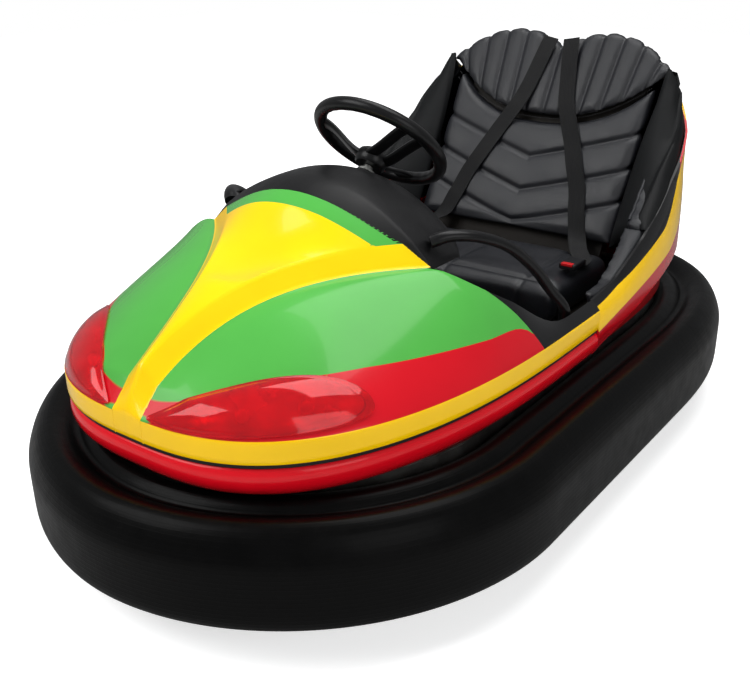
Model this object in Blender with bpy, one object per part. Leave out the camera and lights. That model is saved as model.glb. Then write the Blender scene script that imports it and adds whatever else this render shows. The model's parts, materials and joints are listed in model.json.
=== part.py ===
"""Two-seat bumper car: tyre ring, chassis, moulded body, bench seat and a steerable drive unit.

Frame: metres, +Z up, the nose towards -Y, the driver's left towards +X. The origin is on the
floor, below the middle of the rubber ring.
"""

import math

import bmesh
import bpy
import numpy as np
from mathutils import Matrix, Vector

# ---------------------------------------------------------------- driving dimensions
GAP = 0.0003  # clearance between two pieces that touch

RING_LENGTH = 1.950
RING_WIDTH = 1.177
RING_FRONT = (0.597, 1.927)  # length and roundness of the front end
RING_REAR = (0.694, 2.499)
RING_BOTTOM = 0.080
RING_SHOULDER = 0.228
RING_CROWN = 0.284
RING_DEPTH = 0.170  # outer wall to the steel rim
RIM_WALL = 0.008

NOSE_Y = -0.866
TAIL_Y = 0.790
BODY_HALF_WIDTH = 0.462
BODY_WIDEST_Y = -0.020
BODY_FRONT_POWER = 2.75
BODY_REAR_POWER = 4.20
SHELL_WALL = 0.006

BAND_BOTTOM = 0.362
BAND_TOP = 0.405
SKIRT_BOTTOM = 0.2880
SKIRT_INSET = 0.032
RIM_INSET = 0.022  # the cockpit's rim, in from the widest line
RIM_TURN_Y = -0.060
SEAM_Y = 0.045  # where the front mouldings end and the rear ones start
MOUNT_PLATE = 0.004

SPINE_START_Y = -0.863
ARM_END_Y = -0.351
ARM_END_X = 0.286
SPINE_HALF_WIDTH = 0.036
ARM_FOOT_Z = 0.583
ARM_FACE = 0.040  # the sloping yellow face, in plan and in height
WAIST_FALL = 0.105
COWL_CENTRE_Y = -0.416
COWL_CREST_Z = 0.723
COWL_REAR_Y = -0.165
COWL_REAR_Z = 0.683
COWL_REAR_EDGE_Y = -0.100
COWL_FROM, COWL_TO = 0.40, 0.60  # the share of the hood's rows that end on the cowl's line
HOOD_ROWS = 31
HOOD_COLUMNS = 10
COWL_STEPS = round((COWL_TO - COWL_FROM) * (HOOD_ROWS - 1))

LAMP_FRONT, LAMP_REAR = 0.045, 0.405  # rows of the hood, as shares, at the lamp's ends
LAMP_TIP = 0.052  # share of the way up the hood, at those ends
LAMP_RISE = 0.083  # by which its middle line lies higher between them
LAMP_HALF = 0.1215  # half of the lamp's height, as such a share
LAMP_HOLE = 0.94  # size of the hood's opening, of the lens
LAMP_BOWL = 0.918  # size of the bowl behind it
LAMP_RECESS = 0.030
LAMP_LENS = 0.0025

FRAME_BOTTOM = 0.150
FRAME_TUBE = 0.045
RAIL_X = 0.250
FLOOR_PLATE = 0.004
FLOOR_FRONT_Y = -0.300
CROSS_Y = (-0.330, 0.200)  # cross members that reach the rim
RAIL_FRONT_Y, RAIL_REAR_Y = -0.660, 0.680
FRAME_TOP = FRAME_BOTTOM + FRAME_TUBE
FLOOR_TOP = FRAME_TOP + GAP + FLOOR_PLATE
RIM_INNER_X = RING_WIDTH / 2 - RING_DEPTH - GAP - RIM_WALL
PLATE_Z = SKIRT_BOTTOM - GAP - MOUNT_PLATE

DRIVE_Y = -0.490
DRIVE_WHEEL_R = 0.115
DRIVE_WHEEL_WIDTH = 0.060
TURNTABLE_R = 0.105
DRIVE_PLATE_Z = 0.262
DRIVE_PLATE = 0.006
DRIVE_PLATE_HALF = (RAIL_X + FRAME_TUBE / 2, 0.150)
MOTOR_R = 0.075
MOTOR_LENGTH = 0.200

REAR_AXLE_Y = 0.520
REAR_WHEEL_R = 0.068
REAR_WHEEL_X = 0.330
REAR_WHEEL_WIDTH = 0.045
AXLE_R = 0.010

WHEEL_CENTRE = Vector((0.0, -0.121, 0.744))
WHEEL_RIM_R = 0.140
WHEEL_TUBE_R = 0.0145
COLUMN_TILT = math.radians(44.0)  # of the column's axis, back from vertical
COLUMN_R = 0.011
COLUMN_LENGTH = 0.290
COLUMN_POST_Y = -0.324
BELLOWS_R = 0.036
BELLOWS_LOW = -0.135

SEAT_FRONT_Y = 0.110
SEAT_BOX_TOP = 0.300
CUSHION_TOP = 0.395
CUSHION_HALF_WIDTH = 0.320
WALL_PAD_GAP = 0.0048  # between the shell's curved inner face and the pads on it
PAD_FRONT_Y, BOLSTER_FRONT_Y, BOLSTER_REAR_Y = 0.060, 0.340, 0.640
LINER_INSET = 0.072
BELT_WIDTH = 0.045
BELT_ON_BACK = ((0.032, 0.868), (0.065, 0.731), (0.114, 0.634), (0.167, 0.525), (0.190, 0.455))
BELT_ON_SEAT = ((0.225, 0.420), (0.262, 0.360), (0.285, 0.318), (0.285, 0.300))
PEDAL_AT = (-0.130, -0.190)
GRAB_BAR_R = 0.013
GRAB_START = (0.262, -0.318)
GRAB_FOOT_Y = -0.045
GRAB_PATH = (
    (0.290, -0.292, 0.630),
    (0.325, -0.245, 0.622),
    (0.355, -0.180, 0.590),
    (0.380, -0.120, 0.535),
    (0.400, -0.078, 0.478),
)
HUMP_X = 0.131
SMILE_TOP = 0.794  # the seam's height at the backrest's corners
SEAT_CORNER_X = 0.345
BACK_HALF = 0.300
BACK_TOP = 0.850


# ---------------------------------------------------------------- materials and meshes
def material(name, colour, roughness, metallic=0.0, alpha=1.0):
    made = bpy.data.materials.new(name)
    made.use_nodes = True
    shader = made.node_tree.nodes["Principled BSDF"]
    shader.inputs["Base Color"].default_value = (*colour, 1.0)
    shader.inputs["Roughness"].default_value = roughness
    shader.inputs["Metallic"].default_value = metallic
    shader.inputs["Alpha"].default_value = alpha
    return made


def clear_scene():
    for old in list(bpy.data.objects):
        bpy.data.objects.remove(old, do_unlink=True)


def place(name, mesh, finish, parent=None, smooth_angle=35.0):
    obj = bpy.data.objects.new(name, mesh)
    bpy.context.scene.collection.objects.link(obj)
    mesh.materials.clear()
    mesh.materials.append(finish)
    mesh.shade_smooth()
    mesh.set_sharp_from_angle(angle=math.radians(smooth_angle))
    if parent is not None:
        obj.parent = parent
    return obj


def mesh_of(name, points, faces):
    mesh = bpy.data.meshes.new(name)
    mesh.from_pydata([tuple(p) for p in points], [], faces)
    mesh.validate()
    work = bmesh.new()
    work.from_mesh(mesh)
    bmesh.ops.remove_doubles(work, verts=work.verts, dist=1e-6)
    bmesh.ops.recalc_face_normals(work, faces=work.faces)
    work.to_mesh(mesh)
    work.free()
    return mesh


def bm_to_mesh(name, work):
    bmesh.ops.recalc_face_normals(work, faces=work.faces)
    mesh = bpy.data.meshes.new(name)
    work.to_mesh(mesh)
    work.free()
    return mesh


def swept_ring(name, section_loops):
    """A closed ring. Each item of section_loops is one closed plan loop, and they follow the section round."""
    loops = [np.asarray(loop) for loop in section_loops]
    count, around = len(loops), len(loops[0])
    points = np.concatenate(loops)
    faces = []
    for i in range(count):
        for j in range(around):
            k, nxt = (i + 1) % count, (j + 1) % around
            faces.append((i * around + j, i * around + nxt, k * around + nxt, k * around + j))
    return mesh_of(name, points, faces)


def slab(name, outer, inner):
    """A closed shell between two grids of points of one shape: the outer face and the inner face."""
    rows, columns = outer.shape[:2]
    points = np.concatenate([outer.reshape(-1, 3), inner.reshape(-1, 3)])
    back = rows * columns

    def at(i, j, side):
        return side * back + i * columns + j

    faces = []
    for i in range(rows - 1):
        for j in range(columns - 1):
            faces.append((at(i, j, 0), at(i, j + 1, 0), at(i + 1, j + 1, 0), at(i + 1, j, 0)))
            faces.append((at(i, j, 1), at(i + 1, j, 1), at(i + 1, j + 1, 1), at(i, j + 1, 1)))
    for j in range(columns - 1):
        for i in (0, rows - 1):
            faces.append((at(i, j, 0), at(i, j, 1), at(i, j + 1, 1), at(i, j + 1, 0)))
    for i in range(rows - 1):
        for j in (0, columns - 1):
            faces.append((at(i, j, 0), at(i + 1, j, 0), at(i + 1, j, 1), at(i, j, 1)))
    return mesh_of(name, points, faces)


def box_into(work, low, high, bevel=0.0):
    size = Vector(high) - Vector(low)
    middle = (Vector(high) + Vector(low)) / 2
    made = bmesh.ops.create_cube(work, size=1.0, matrix=Matrix.Translation(middle) @ Matrix.Diagonal((*size, 1)))
    if bevel:
        edges = {edge for vert in made["verts"] for edge in vert.link_edges}
        bmesh.ops.bevel(work, geom=list(edges), offset=bevel, segments=2, affect="EDGES", profile=0.5)


def box(name, low, high, finish, bevel=0.0, parent=None):
    work = bmesh.new()
    box_into(work, low, high, bevel)
    return place(name, bm_to_mesh(name, work), finish, parent)


def turned(name, profile, segments=32, axis="Z"):
    """A body turned about an axis. profile is a list of (radius, height), first and last on the axis or
    joined to each other as a ring."""
    work = bmesh.new()
    verts = [work.verts.new((r, 0.0, z)) for r, z in profile]
    closed = profile[0][0] > 1e-9 or profile[-1][0] > 1e-9
    edges = [work.edges.new((a, b)) for a, b in zip(verts, verts[1:])]
    if closed:
        edges.append(work.edges.new((verts[-1], verts[0])))
    bmesh.ops.spin(
        work, geom=verts + edges, axis=(0, 0, 1), cent=(0, 0, 0), angle=2 * math.pi, steps=segments, use_merge=True
    )
    bmesh.ops.remove_doubles(work, verts=work.verts, dist=1e-6)
    if axis == "X":
        bmesh.ops.rotate(work, verts=work.verts, cent=(0, 0, 0), matrix=Matrix.Rotation(math.pi / 2, 3, "Y"))
    if axis == "Y":
        bmesh.ops.rotate(work, verts=work.verts, cent=(0, 0, 0), matrix=Matrix.Rotation(-math.pi / 2, 3, "X"))
    return bm_to_mesh(name, work)


def boolean(target, cutter, operation):
    change = target.modifiers.new(operation.title(), "BOOLEAN")
    change.object = cutter
    change.operation = operation
    change.solver = "EXACT"
    cutter.hide_render = True
    cutter.display_type = "WIRE"
    return target


def helper(name, mesh):
    obj = bpy.data.objects.new(name, mesh)
    bpy.context.scene.collection.objects.link(obj)
    obj.hide_render = True
    obj.display_type = "WIRE"
    return obj


def empty(name, location, rotation=(0.0, 0.0, 0.0)):
    obj = bpy.data.objects.new(name, None)
    obj.location = location
    obj.rotation_euler = rotation
    bpy.context.scene.collection.objects.link(obj)
    return obj


# ---------------------------------------------------------------- plan outlines
def outline(half_width, widest_y, nose_y, tail_y, front_power, rear_power, inset=0.0, samples=1440):
    """A closed plan outline, dense, starting at the nose and running round by +X, moved in by inset."""
    angle = np.linspace(0.0, 2.0 * math.pi, samples, endpoint=False)
    s, c = np.sin(angle), -np.cos(angle)
    power = np.where(c < 0, front_power, rear_power)
    reach = np.where(c < 0, widest_y - nose_y, tail_y - widest_y)
    x = half_width * np.sign(s) * np.abs(s) ** (2.0 / power)
    y = widest_y + reach * np.sign(c) * np.abs(c) ** (2.0 / power)
    loop = np.stack([x, y], axis=1)
    if inset:
        ahead = np.roll(loop, -1, axis=0) - np.roll(loop, 1, axis=0)
        inward = np.stack([-ahead[:, 1], ahead[:, 0]], axis=1)
        inward /= np.linalg.norm(inward, axis=1)[:, None] + 1e-12
        loop = loop + inward * inset
    return loop


def resampled(loop, count):
    """count points evenly spaced along a closed plan loop, the first one kept."""
    closed = np.vstack([loop, loop[:1]])
    run = np.concatenate([[0.0], np.cumsum(np.linalg.norm(np.diff(closed, axis=0), axis=1))])
    want = np.linspace(0.0, run[-1], count, endpoint=False)
    return np.stack([np.interp(want, run, closed[:, k]) for k in (0, 1)], axis=1)


def level(loop, z):
    return np.column_stack([loop, np.full(len(loop), z) if np.isscalar(z) else z])


def ring_outline(inset, count):
    half = RING_LENGTH / 2
    front_len, front_power = RING_FRONT
    rear_len, rear_power = RING_REAR
    angle = np.linspace(0.0, 2.0 * math.pi, 2880, endpoint=False)
    s, c = np.sin(angle), -np.cos(angle)
    power = np.where(c < 0, front_power, rear_power)
    x = RING_WIDTH / 2 * np.sign(s) * np.abs(s) ** (2.0 / power)
    y = np.where(
        c < 0,
        -half + front_len - front_len * np.abs(c) ** (2.0 / power),
        half - rear_len + rear_len * np.abs(c) ** (2.0 / power),
    )
    base = resampled(np.stack([x, y], axis=1), count)
    ahead = np.roll(base, -1, axis=0) - np.roll(base, 1, axis=0)
    inward = np.stack([-ahead[:, 1], ahead[:, 0]], axis=1)
    inward /= np.linalg.norm(inward, axis=1)[:, None]
    return base + inward * inset


def body_outline(inset, count=None, half_width=BODY_HALF_WIDTH, nose_y=NOSE_Y, tail_y=TAIL_Y):
    loop = outline(half_width, BODY_WIDEST_Y, nose_y, tail_y, BODY_FRONT_POWER, BODY_REAR_POWER, inset)
    return loop if count is None else resampled(loop, count)


def half_width_at(y, inset=0.0):
    """Half width of the body's front outline at y, from its formula."""
    reach = BODY_WIDEST_Y - NOSE_Y - inset
    share = np.clip(np.abs(np.minimum(y, BODY_WIDEST_Y) - BODY_WIDEST_Y) / reach, 0.0, 1.0)
    return (BODY_HALF_WIDTH - inset) * (1.0 - share**BODY_FRONT_POWER) ** (1.0 / BODY_FRONT_POWER)


# ---------------------------------------------------------------- the hood's surface
def arm_run(y):
    return np.clip((y - SPINE_START_Y) / (ARM_END_Y - SPINE_START_Y), 0.0, 1.0)


def arm_foot_x(y):
    """Where the yellow spine and its two arms meet the green fenders, in plan."""
    return SPINE_HALF_WIDTH + (ARM_END_X - SPINE_HALF_WIDTH) * arm_run(y) ** 2.25


def smooth_step(share):
    share = np.clip(share, 0.0, 1.0)
    return share * share * (3.0 - 2.0 * share)


def arm_foot_z(y):
    """Height of that edge. Beside the cockpit, behind the arms, the body falls away to its low waist."""
    return ARM_FOOT_Z - 0.156 * (1.0 - arm_run(y)) ** 2.3 - WAIST_FALL * smooth_step((y + 0.260) / 0.170)


def arm_face(y):
    """Width, and height, of the sloping face above the foot."""
    return ARM_FACE * (0.70 + 0.30 * arm_run(y))


def centre_z(y):
    """Height of the hood and cowl along the middle: spine, dish, lip, cowl, and the slope behind it."""
    crest = arm_foot_z(y) + arm_face(y) + 0.004
    dish = 0.582 + 0.100 * np.clip((y + 0.615) / 0.182, 0.0, 1.0) ** 2.2
    lip_to_crest = 0.682 + 0.041 * (1.0 - np.clip((-0.290 - y) / 0.143, 0.0, 1.0) ** 2.6)
    fall = np.clip((y + 0.290) / (COWL_REAR_Y + 0.290), 0.0, 1.6)
    cowl = COWL_CREST_Z - (COWL_CREST_Z - COWL_REAR_Z) * fall**2
    blend = smooth_step((y + 0.660) / 0.060)
    front = crest * (1 - blend) + np.minimum(dish, crest + 0.2) * blend
    return np.where(y < -0.433, front, np.where(y < -0.290, lip_to_crest, cowl))


def hood_z(x, y):
    """Height of the hood's and cowl's outer face over the plan point (x, y)."""
    across = np.abs(x)
    foot_x, foot_z, face = arm_foot_x(y), arm_foot_z(y), arm_face(y)
    crease_x = np.maximum(foot_x - face, 0.004)
    crease_z = foot_z + face
    share = np.clip(across / crease_x, 0.0, 1.0)
    inside = crease_z + (centre_z(y) - crease_z) * (1.0 - share**2)
    on_face = crease_z - (across - crease_x) / np.maximum(foot_x - crease_x, 1e-6) * (crease_z - foot_z)
    edge = np.maximum(half_width_at(y), foot_x + 0.001)
    out = np.clip((across - foot_x) / (edge - foot_x), 0.0, 1.0)
    fender = BAND_TOP + (foot_z - BAND_TOP) * (1.0 - out**2.0) ** 0.85
    height = np.where(across < crease_x, inside, np.where(across < foot_x, on_face, fender))
    rim = half_width_at(y) - across
    tip = np.clip((y - NOSE_Y) / 0.045, 0.0, 1.0) ** 0.5
    near = np.clip(rim / 0.05, 0.0, 1.0) ** 0.5
    return BAND_TOP + (height - BAND_TOP) * np.minimum(tip, np.where(across < foot_x, near, 1.0))


def cowl_line(across):
    """y of the line where the painted hood ends and the black cowl starts, over |x| up to the arm's end."""
    return COWL_CENTRE_Y + (ARM_END_Y - COWL_CENTRE_Y) * np.clip(across / ARM_END_X, 0.0, 1.0) ** 2


def side_line(run):
    """Plan points of the cockpit's rim, from the arm's end back to the seam: a quarter of an oval, then straight."""
    turn = np.clip(run / 0.60, 0.0, 1.0) * math.pi / 2
    width = BODY_HALF_WIDTH - RIM_INSET - ARM_END_X
    x = ARM_END_X + width * np.sin(turn)
    y = ARM_END_Y + (RIM_TURN_Y - ARM_END_Y) * (1.0 - np.cos(turn))
    back = np.clip((run - 0.60) / 0.40, 0.0, 1.0)
    return np.stack([x, y + (SEAM_Y - GAP - RIM_TURN_Y) * back], axis=-1)


def front_points(steps, shares, wall):
    """Points of the hood's +X half. A step runs from the nose, 0, back to the seam, 1. A share runs from the
    band's top edge, 0, up and in to the middle line or the cockpit's rim, 1. wall moves the face inwards."""
    dense = body_outline(wall)
    side = dense[(dense[:, 0] >= -1e-9) & (dense[:, 1] <= SEAM_Y - GAP)]
    side = side[np.argsort(side[:, 1])]
    run = np.concatenate([[0.0], np.cumsum(np.linalg.norm(np.diff(side, axis=0), axis=1))])
    run /= run[-1]
    nose_top = NOSE_Y + 0.030 + wall
    rows = []
    for step in steps:
        foot = np.array([np.interp(step, run, side[:, k]) for k in (0, 1)])
        if step <= COWL_FROM:
            top = np.array([0.0, nose_top + (COWL_CENTRE_Y - nose_top) * (step / COWL_FROM) ** 0.9])
        elif step <= COWL_TO:
            x = ARM_END_X * (step - COWL_FROM) / (COWL_TO - COWL_FROM)
            top = np.array([x, cowl_line(x)])
        else:
            behind = (step - COWL_TO) / (1.0 - COWL_TO)
            top = side_line(behind) - np.array([wall * smooth_step(behind / 0.5), 0.0])
        plan = foot + (top - foot) * np.asarray(shares)[:, None]
        z = np.maximum(hood_z(plan[:, 0], plan[:, 1]), BAND_TOP) - wall * 1.2
        rows.append(np.column_stack([plan, z]))
    return np.array(rows)


def front_grid(wall):
    """The hood's half as a grid: the band's upright face first, then the surface above it."""
    grid = front_points(np.linspace(0.0, 1.0, HOOD_ROWS), np.linspace(0.0, 1.0, HOOD_COLUMNS), wall)
    bottom = np.concatenate([grid[:, :1, :2], np.full((HOOD_ROWS, 1, 1), BAND_BOTTOM)], axis=2)
    return np.concatenate([bottom, grid], axis=1)


def mirrored_half(name, half, finish):
    """The whole piece from its +X half, joined along the middle plane."""
    work = bmesh.new()
    work.from_mesh(half)
    bmesh.ops.mirror(work, geom=work.verts[:] + work.edges[:] + work.faces[:], axis="X", merge_dist=1e-5)
    doomed = [face for face in work.faces if all(abs(vert.co.x) < 1e-6 for vert in face.verts)]
    bmesh.ops.delete(work, geom=doomed, context="FACES_ONLY")
    bmesh.ops.remove_doubles(work, verts=work.verts, dist=1e-5)
    return place(name, bm_to_mesh(name, work), finish)


def front_body(finish):
    half = slab("front_body_half", front_grid(0.0), front_grid(SHELL_WALL))
    body = mirrored_half("front_body", half, finish)

    def above(reach):
        return 0.030

    def below(reach):
        return -0.030

    for side, label in ((1, "left"), (-1, "right")):
        hole = lamp_patch(side, "lamp_hole", LAMP_HOLE, above, below)
        boolean(body, helper(f"lamp_hole_{label}", hole), "DIFFERENCE")
    return body


# ---------------------------------------------------------------- lamps
def lamp_spot(turn, reach):
    """(step, share) on the hood's grid of a point in the tear-drop lamp: turn round it, reach 0 to 1 outwards."""
    along = np.cos(turn) * reach
    step = LAMP_FRONT + (LAMP_REAR - LAMP_FRONT) * (along + 1.0) / 2.0
    middle = LAMP_TIP + LAMP_RISE * (1.0 - along**2) ** 0.8 * (1.0 - 0.08 * along)
    return step, middle + LAMP_HALF * (1.0 - 0.14 * along) * np.sin(turn) * reach


def surface_at(step, share):
    """Point and outward normal of the hood at a place on its grid."""
    delta = 0.004
    grid = front_points([step - delta, step, step + delta], [share - 3 * delta, share, share + 3 * delta], 0.0)
    along = grid[2, 1] - grid[0, 1]
    up = grid[1, 2] - grid[1, 0]
    normal = np.cross(along, up)
    return grid[1, 1], normal / np.linalg.norm(normal)


def lamp_patch(side, name, size, outer, inner, rings=4, around=26):
    """A solid over the lamp's tear-drop. outer and inner give its two faces' heights above the hood, over
    the reach from the lamp's middle, 0, to its edge, 1."""
    grids = []
    for height in (outer, inner):
        points = []
        for ring in range(rings + 1):
            reach = ring / rings
            for step in range(around if ring else 1):
                point, normal = surface_at(*lamp_spot(2 * math.pi * step / around, reach * size))
                points.append(point + normal * height(reach))
        grids.append(np.array(points) * (side, 1, 1))
    total = 1 + rings * around
    faces = []
    for back in (0, total):
        for k in range(around):
            faces.append((back, back + 1 + k, back + 1 + (k + 1) % around))
            for ring in range(rings - 1):
                a = back + 1 + ring * around
                faces.append((a + k, a + around + k, a + around + (k + 1) % around, a + (k + 1) % around))
    edge = 1 + (rings - 1) * around
    for k in range(around):
        nxt = (k + 1) % around
        faces.append((edge + k, edge + nxt, total + edge + nxt, total + edge + k))
    return mesh_of(name, np.concatenate(grids), faces)


def lens_outside(reach):
    """Height of the lens over the hood: a low dome with a flat flange round it."""
    return 0.0011 + LAMP_LENS + 0.014 * np.clip(1.0 - (reach / (LAMP_HOLE + 0.01)) ** 2.5, 0.0, 1.0)


def lens_inside(reach):
    return lens_outside(reach) - LAMP_LENS


def bowl_inside(reach):
    """Height of the bowl's bright face, its reach counted to its own edge. The edge hangs from the lens."""
    return lens_inside(LAMP_BOWL) - 0.0008 - LAMP_RECESS * (1.0 - reach**4)


def bowl_outside(reach):
    return bowl_inside(reach) - 0.003


def lamps(glass, bowl_finish):
    for side, label in ((1, "left"), (-1, "right")):
        place(f"lamp_lens_{label}", lamp_patch(side, "lamp_lens", 1.0, lens_outside, lens_inside), glass)
        bowl_mesh = lamp_patch(side, "lamp_bowl", LAMP_BOWL, bowl_inside, bowl_outside)
        place(f"lamp_bowl_{label}", bowl_mesh, bowl_finish)


# ---------------------------------------------------------------- mouldings below and behind
def u_path(inset, count, behind, start_y, half_width=BODY_HALF_WIDTH):
    """Plan points along the body's outline from +X at start_y to -X: round the nose, or behind it round the tail."""
    dense = body_outline(inset, half_width=half_width)
    part = dense[dense[:, 1] >= start_y] if behind else dense[dense[:, 1] <= start_y]
    if not behind:
        part = np.roll(part, -int(np.argmax(np.linalg.norm(np.diff(part, axis=0), axis=1))) - 1, axis=0)
    run = np.concatenate([[0.0], np.cumsum(np.linalg.norm(np.diff(part, axis=0), axis=1))])
    want = np.linspace(0.0, run[-1], count)
    path = np.stack([np.interp(want, run, part[:, k]) for k in (0, 1)], axis=1)
    path[[0, -1], 1] = start_y
    return path


def u_wall(name, columns, wall, count, behind, start_y, finish):
    """A moulding that follows the outline. columns is a list of (inset, height), height a number or a
    function of y; the inner face is the same list moved in by wall."""
    faces = []
    for move in (0.0, wall):
        grid = []
        for inset, height in columns:
            path = u_path(inset + move, count, behind, start_y)
            z = height(path[:, 1]) if callable(height) else height
            grid.append(level(path, z))
        faces.append(np.array(grid).transpose(1, 0, 2))
    return place(name, slab(name, *faces), finish)


def lip_z(y):
    """Height of the rear shell's turned-in lower lip, which rises towards the tail."""
    return 0.300 + 0.120 * np.clip((y - SEAM_Y) / 0.70, 0.0, 1.0) ** 0.8


def skirt_top_z(y):
    """Height of the recessed rear skirt's top edge, just under that lip."""
    return lip_z(y) - GAP


RIM_LINE = (  # y, rim height beside the seat
    (0.045, 0.424),
    (0.160, 0.437),
    (0.300, 0.487),
    (0.400, 0.528),
    (0.500, 0.575),
    (0.600, 0.640),
    (0.680, 0.725),
    (0.760, 0.800),
)


def shell_rim_z(x, y):
    side = np.interp(y, [row[0] for row in RIM_LINE], [row[1] for row in RIM_LINE])
    behind = BACK_TOP - 0.050 * np.clip(np.abs(x) / 0.360, 0.0, 1.0) ** 3
    return np.where(y > 0.745, np.maximum(behind, side), side)


def shell_inset(z):
    """How far the rear shell leans in at a height."""
    return 0.012 * np.clip((0.345 - z) / 0.045, 0, 1) + 0.040 * np.clip((z - 0.620) / 0.280, 0.0, 1.0) ** 1.5


def shell_lean(share, z):
    """How far the outer face is in from the outline, a share of the way from lip to rim. The rim rolls in."""
    return shell_inset(z) + RIM_INSET * share**4 * np.clip((0.680 - z) / 0.100, 0.0, 1.0)


def rear_body(finish):
    count, levels = 41, 7
    base = {move: u_path(move, count, True, SEAM_Y + GAP) for move in (0.0, SHELL_WALL, 0.046)}
    rim = shell_rim_z(base[0.0][:, 0], base[0.0][:, 1])
    lip = lip_z(base[0.0][:, 1])
    grids = []
    for move in (0.0, SHELL_WALL):
        columns = [level(base[0.046], lip + move * 0.75)]
        for share in np.linspace(0.0, 1.0, levels):
            z = (lip + move * 0.75) * (1 - share) + rim * share
            lean = shell_lean(share, z)
            plan = [u_path_point(base[0.0], k, lean[k] + move) for k in range(count)]
            columns.append(level(np.array(plan), z))
        grids.append(np.array(columns).transpose(1, 0, 2))
    return place("rear_body", slab("rear_body", *grids), finish)


def u_path_point(path, k, inset):
    """The point k of a path, moved in by inset, square to it. The two ends stay on the seam."""
    a, b = path[max(k - 1, 0)], path[min(k + 1, len(path) - 1)]
    ahead = (b - a) / np.linalg.norm(b - a)
    moved = path[k] + np.array([-ahead[1], ahead[0]]) * inset
    if k in (0, len(path) - 1):
        moved[1] = path[k][1]
    return moved


# ---------------------------------------------------------------- ring, rim and frame
RING_SECTION = (  # inset from the outer wall, height
    (0.035, RING_BOTTOM),
    (0.008, 0.098),
    (0.000, 0.122),
    (0.000, RING_SHOULDER - 0.010),
    (0.016, 0.260),
    (0.045, RING_CROWN),
    (0.076, 0.277),
    (0.095, 0.260),
    (0.104, 0.260),
    (0.120, 0.277),
    (0.142, 0.278),
    (RING_DEPTH, 0.252),
    (RING_DEPTH, 0.100),
    (0.150, RING_BOTTOM),
)


def bumper_tyre(finish):
    loops = [level(ring_outline(inset, 56), z) for inset, z in RING_SECTION]
    return place("bumper_tyre", swept_ring("bumper_tyre", loops), finish)


def bumper_rim(finish):
    near, far = RING_DEPTH + GAP, RING_DEPTH + GAP + RIM_WALL
    top = PLATE_Z - GAP
    section = ((near, 0.095), (near, top), (far, top), (far, 0.095))
    return place("bumper_rim", swept_ring("bumper_rim", [level(ring_outline(i, 56), z) for i, z in section]), finish)


def radii(loop, count):
    """Radius of a plan loop in evenly spaced directions from the origin."""
    angle = np.unwrap(np.arctan2(loop[:, 1], loop[:, 0]))
    distance = np.hypot(loop[:, 0], loop[:, 1])
    want = np.linspace(-math.pi, math.pi, count, endpoint=False)
    turn = np.mod(angle + math.pi, 2 * math.pi)
    order = np.argsort(turn)
    return want, np.interp(want + math.pi, turn[order], distance[order], period=2 * math.pi)


def body_mount_plate(finish):
    """Flat steel ring on the rim's top edge, which carries the body's skirts."""
    count = 56
    angle, skirt = radii(body_outline(SKIRT_INSET + 0.006), count)
    rim = radii(ring_outline(RING_DEPTH + GAP, 720), count)[1]
    inner_skirt = radii(body_outline(SKIRT_INSET + 0.030), count)[1]
    inner_rim = radii(ring_outline(RING_DEPTH + 0.020, 720), count)[1]
    outer, inner = np.maximum(skirt, rim), np.minimum(inner_skirt, inner_rim)
    direction = np.stack([np.cos(angle), np.sin(angle)], axis=1)
    out_loop, in_loop = direction * outer[:, None], direction * inner[:, None]
    top = PLATE_Z + MOUNT_PLATE
    loops = [level(out_loop, PLATE_Z), level(out_loop, top), level(in_loop, top), level(in_loop, PLATE_Z)]
    return place("body_mount_plate", swept_ring("body_mount_plate", loops), finish)


def chassis_frame(finish):
    half = FRAME_TUBE / 2
    parts = []
    for x in (-RAIL_X, RAIL_X):
        parts.append(((x - half, RAIL_FRONT_Y), (x + half, RAIL_REAR_Y)))
    for y in CROSS_Y:
        parts.append(((-RIM_INNER_X + GAP, y - half), (RIM_INNER_X - GAP, y + half)))
    for y in (RAIL_FRONT_Y + half, RAIL_REAR_Y - half):
        parts.append(((-RAIL_X, y - half), (RAIL_X, y + half)))
    base = None
    for index, (low, high) in enumerate(parts):
        work = bmesh.new()
        box_into(work, (*low, FRAME_BOTTOM), (*high, FRAME_TOP))
        mesh = bm_to_mesh(f"frame_member_{index}", work)
        if base is None:
            base = place("chassis_frame", mesh, finish)
        else:
            boolean(base, helper(f"frame_member_{index}", mesh), "UNION")
    for sx in (-1, 1):
        for sy in (-1, 1):
            work = bmesh.new()
            x, y = sx * RAIL_X, DRIVE_Y + sy * (DRIVE_PLATE_HALF[1] - 0.02)
            box_into(work, (x - 0.02, y - 0.018, FRAME_TOP - 0.01), (x + 0.02, y + 0.018, DRIVE_PLATE_Z - GAP))
            post = helper(f"drive_post_{sx}_{sy}", bm_to_mesh("drive_post", work))
            boolean(base, post, "UNION")
    return base


def floor_pan(finish):
    """Cockpit floor: a plate on the frame, cut straight in front."""
    loop = ring_outline(RING_DEPTH + RIM_WALL + 0.004, 160)
    inside = loop[loop[:, 1] >= FLOOR_FRONT_Y]
    order = np.argsort(np.mod(np.arctan2(inside[:, 1], inside[:, 0]) + math.pi / 2, 2 * math.pi))
    inside = inside[order]
    low, top = FRAME_TOP + GAP, FRAME_TOP + GAP + FLOOR_PLATE
    count = len(inside)
    points = np.concatenate([level(inside, low), level(inside, top)])
    faces = [tuple(range(count)), tuple(range(2 * count - 1, count - 1, -1))]
    faces += [(i, (i + 1) % count, count + (i + 1) % count, count + i) for i in range(count)]
    return place("floor_pan", mesh_of("floor_pan", points, faces), finish)


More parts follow.
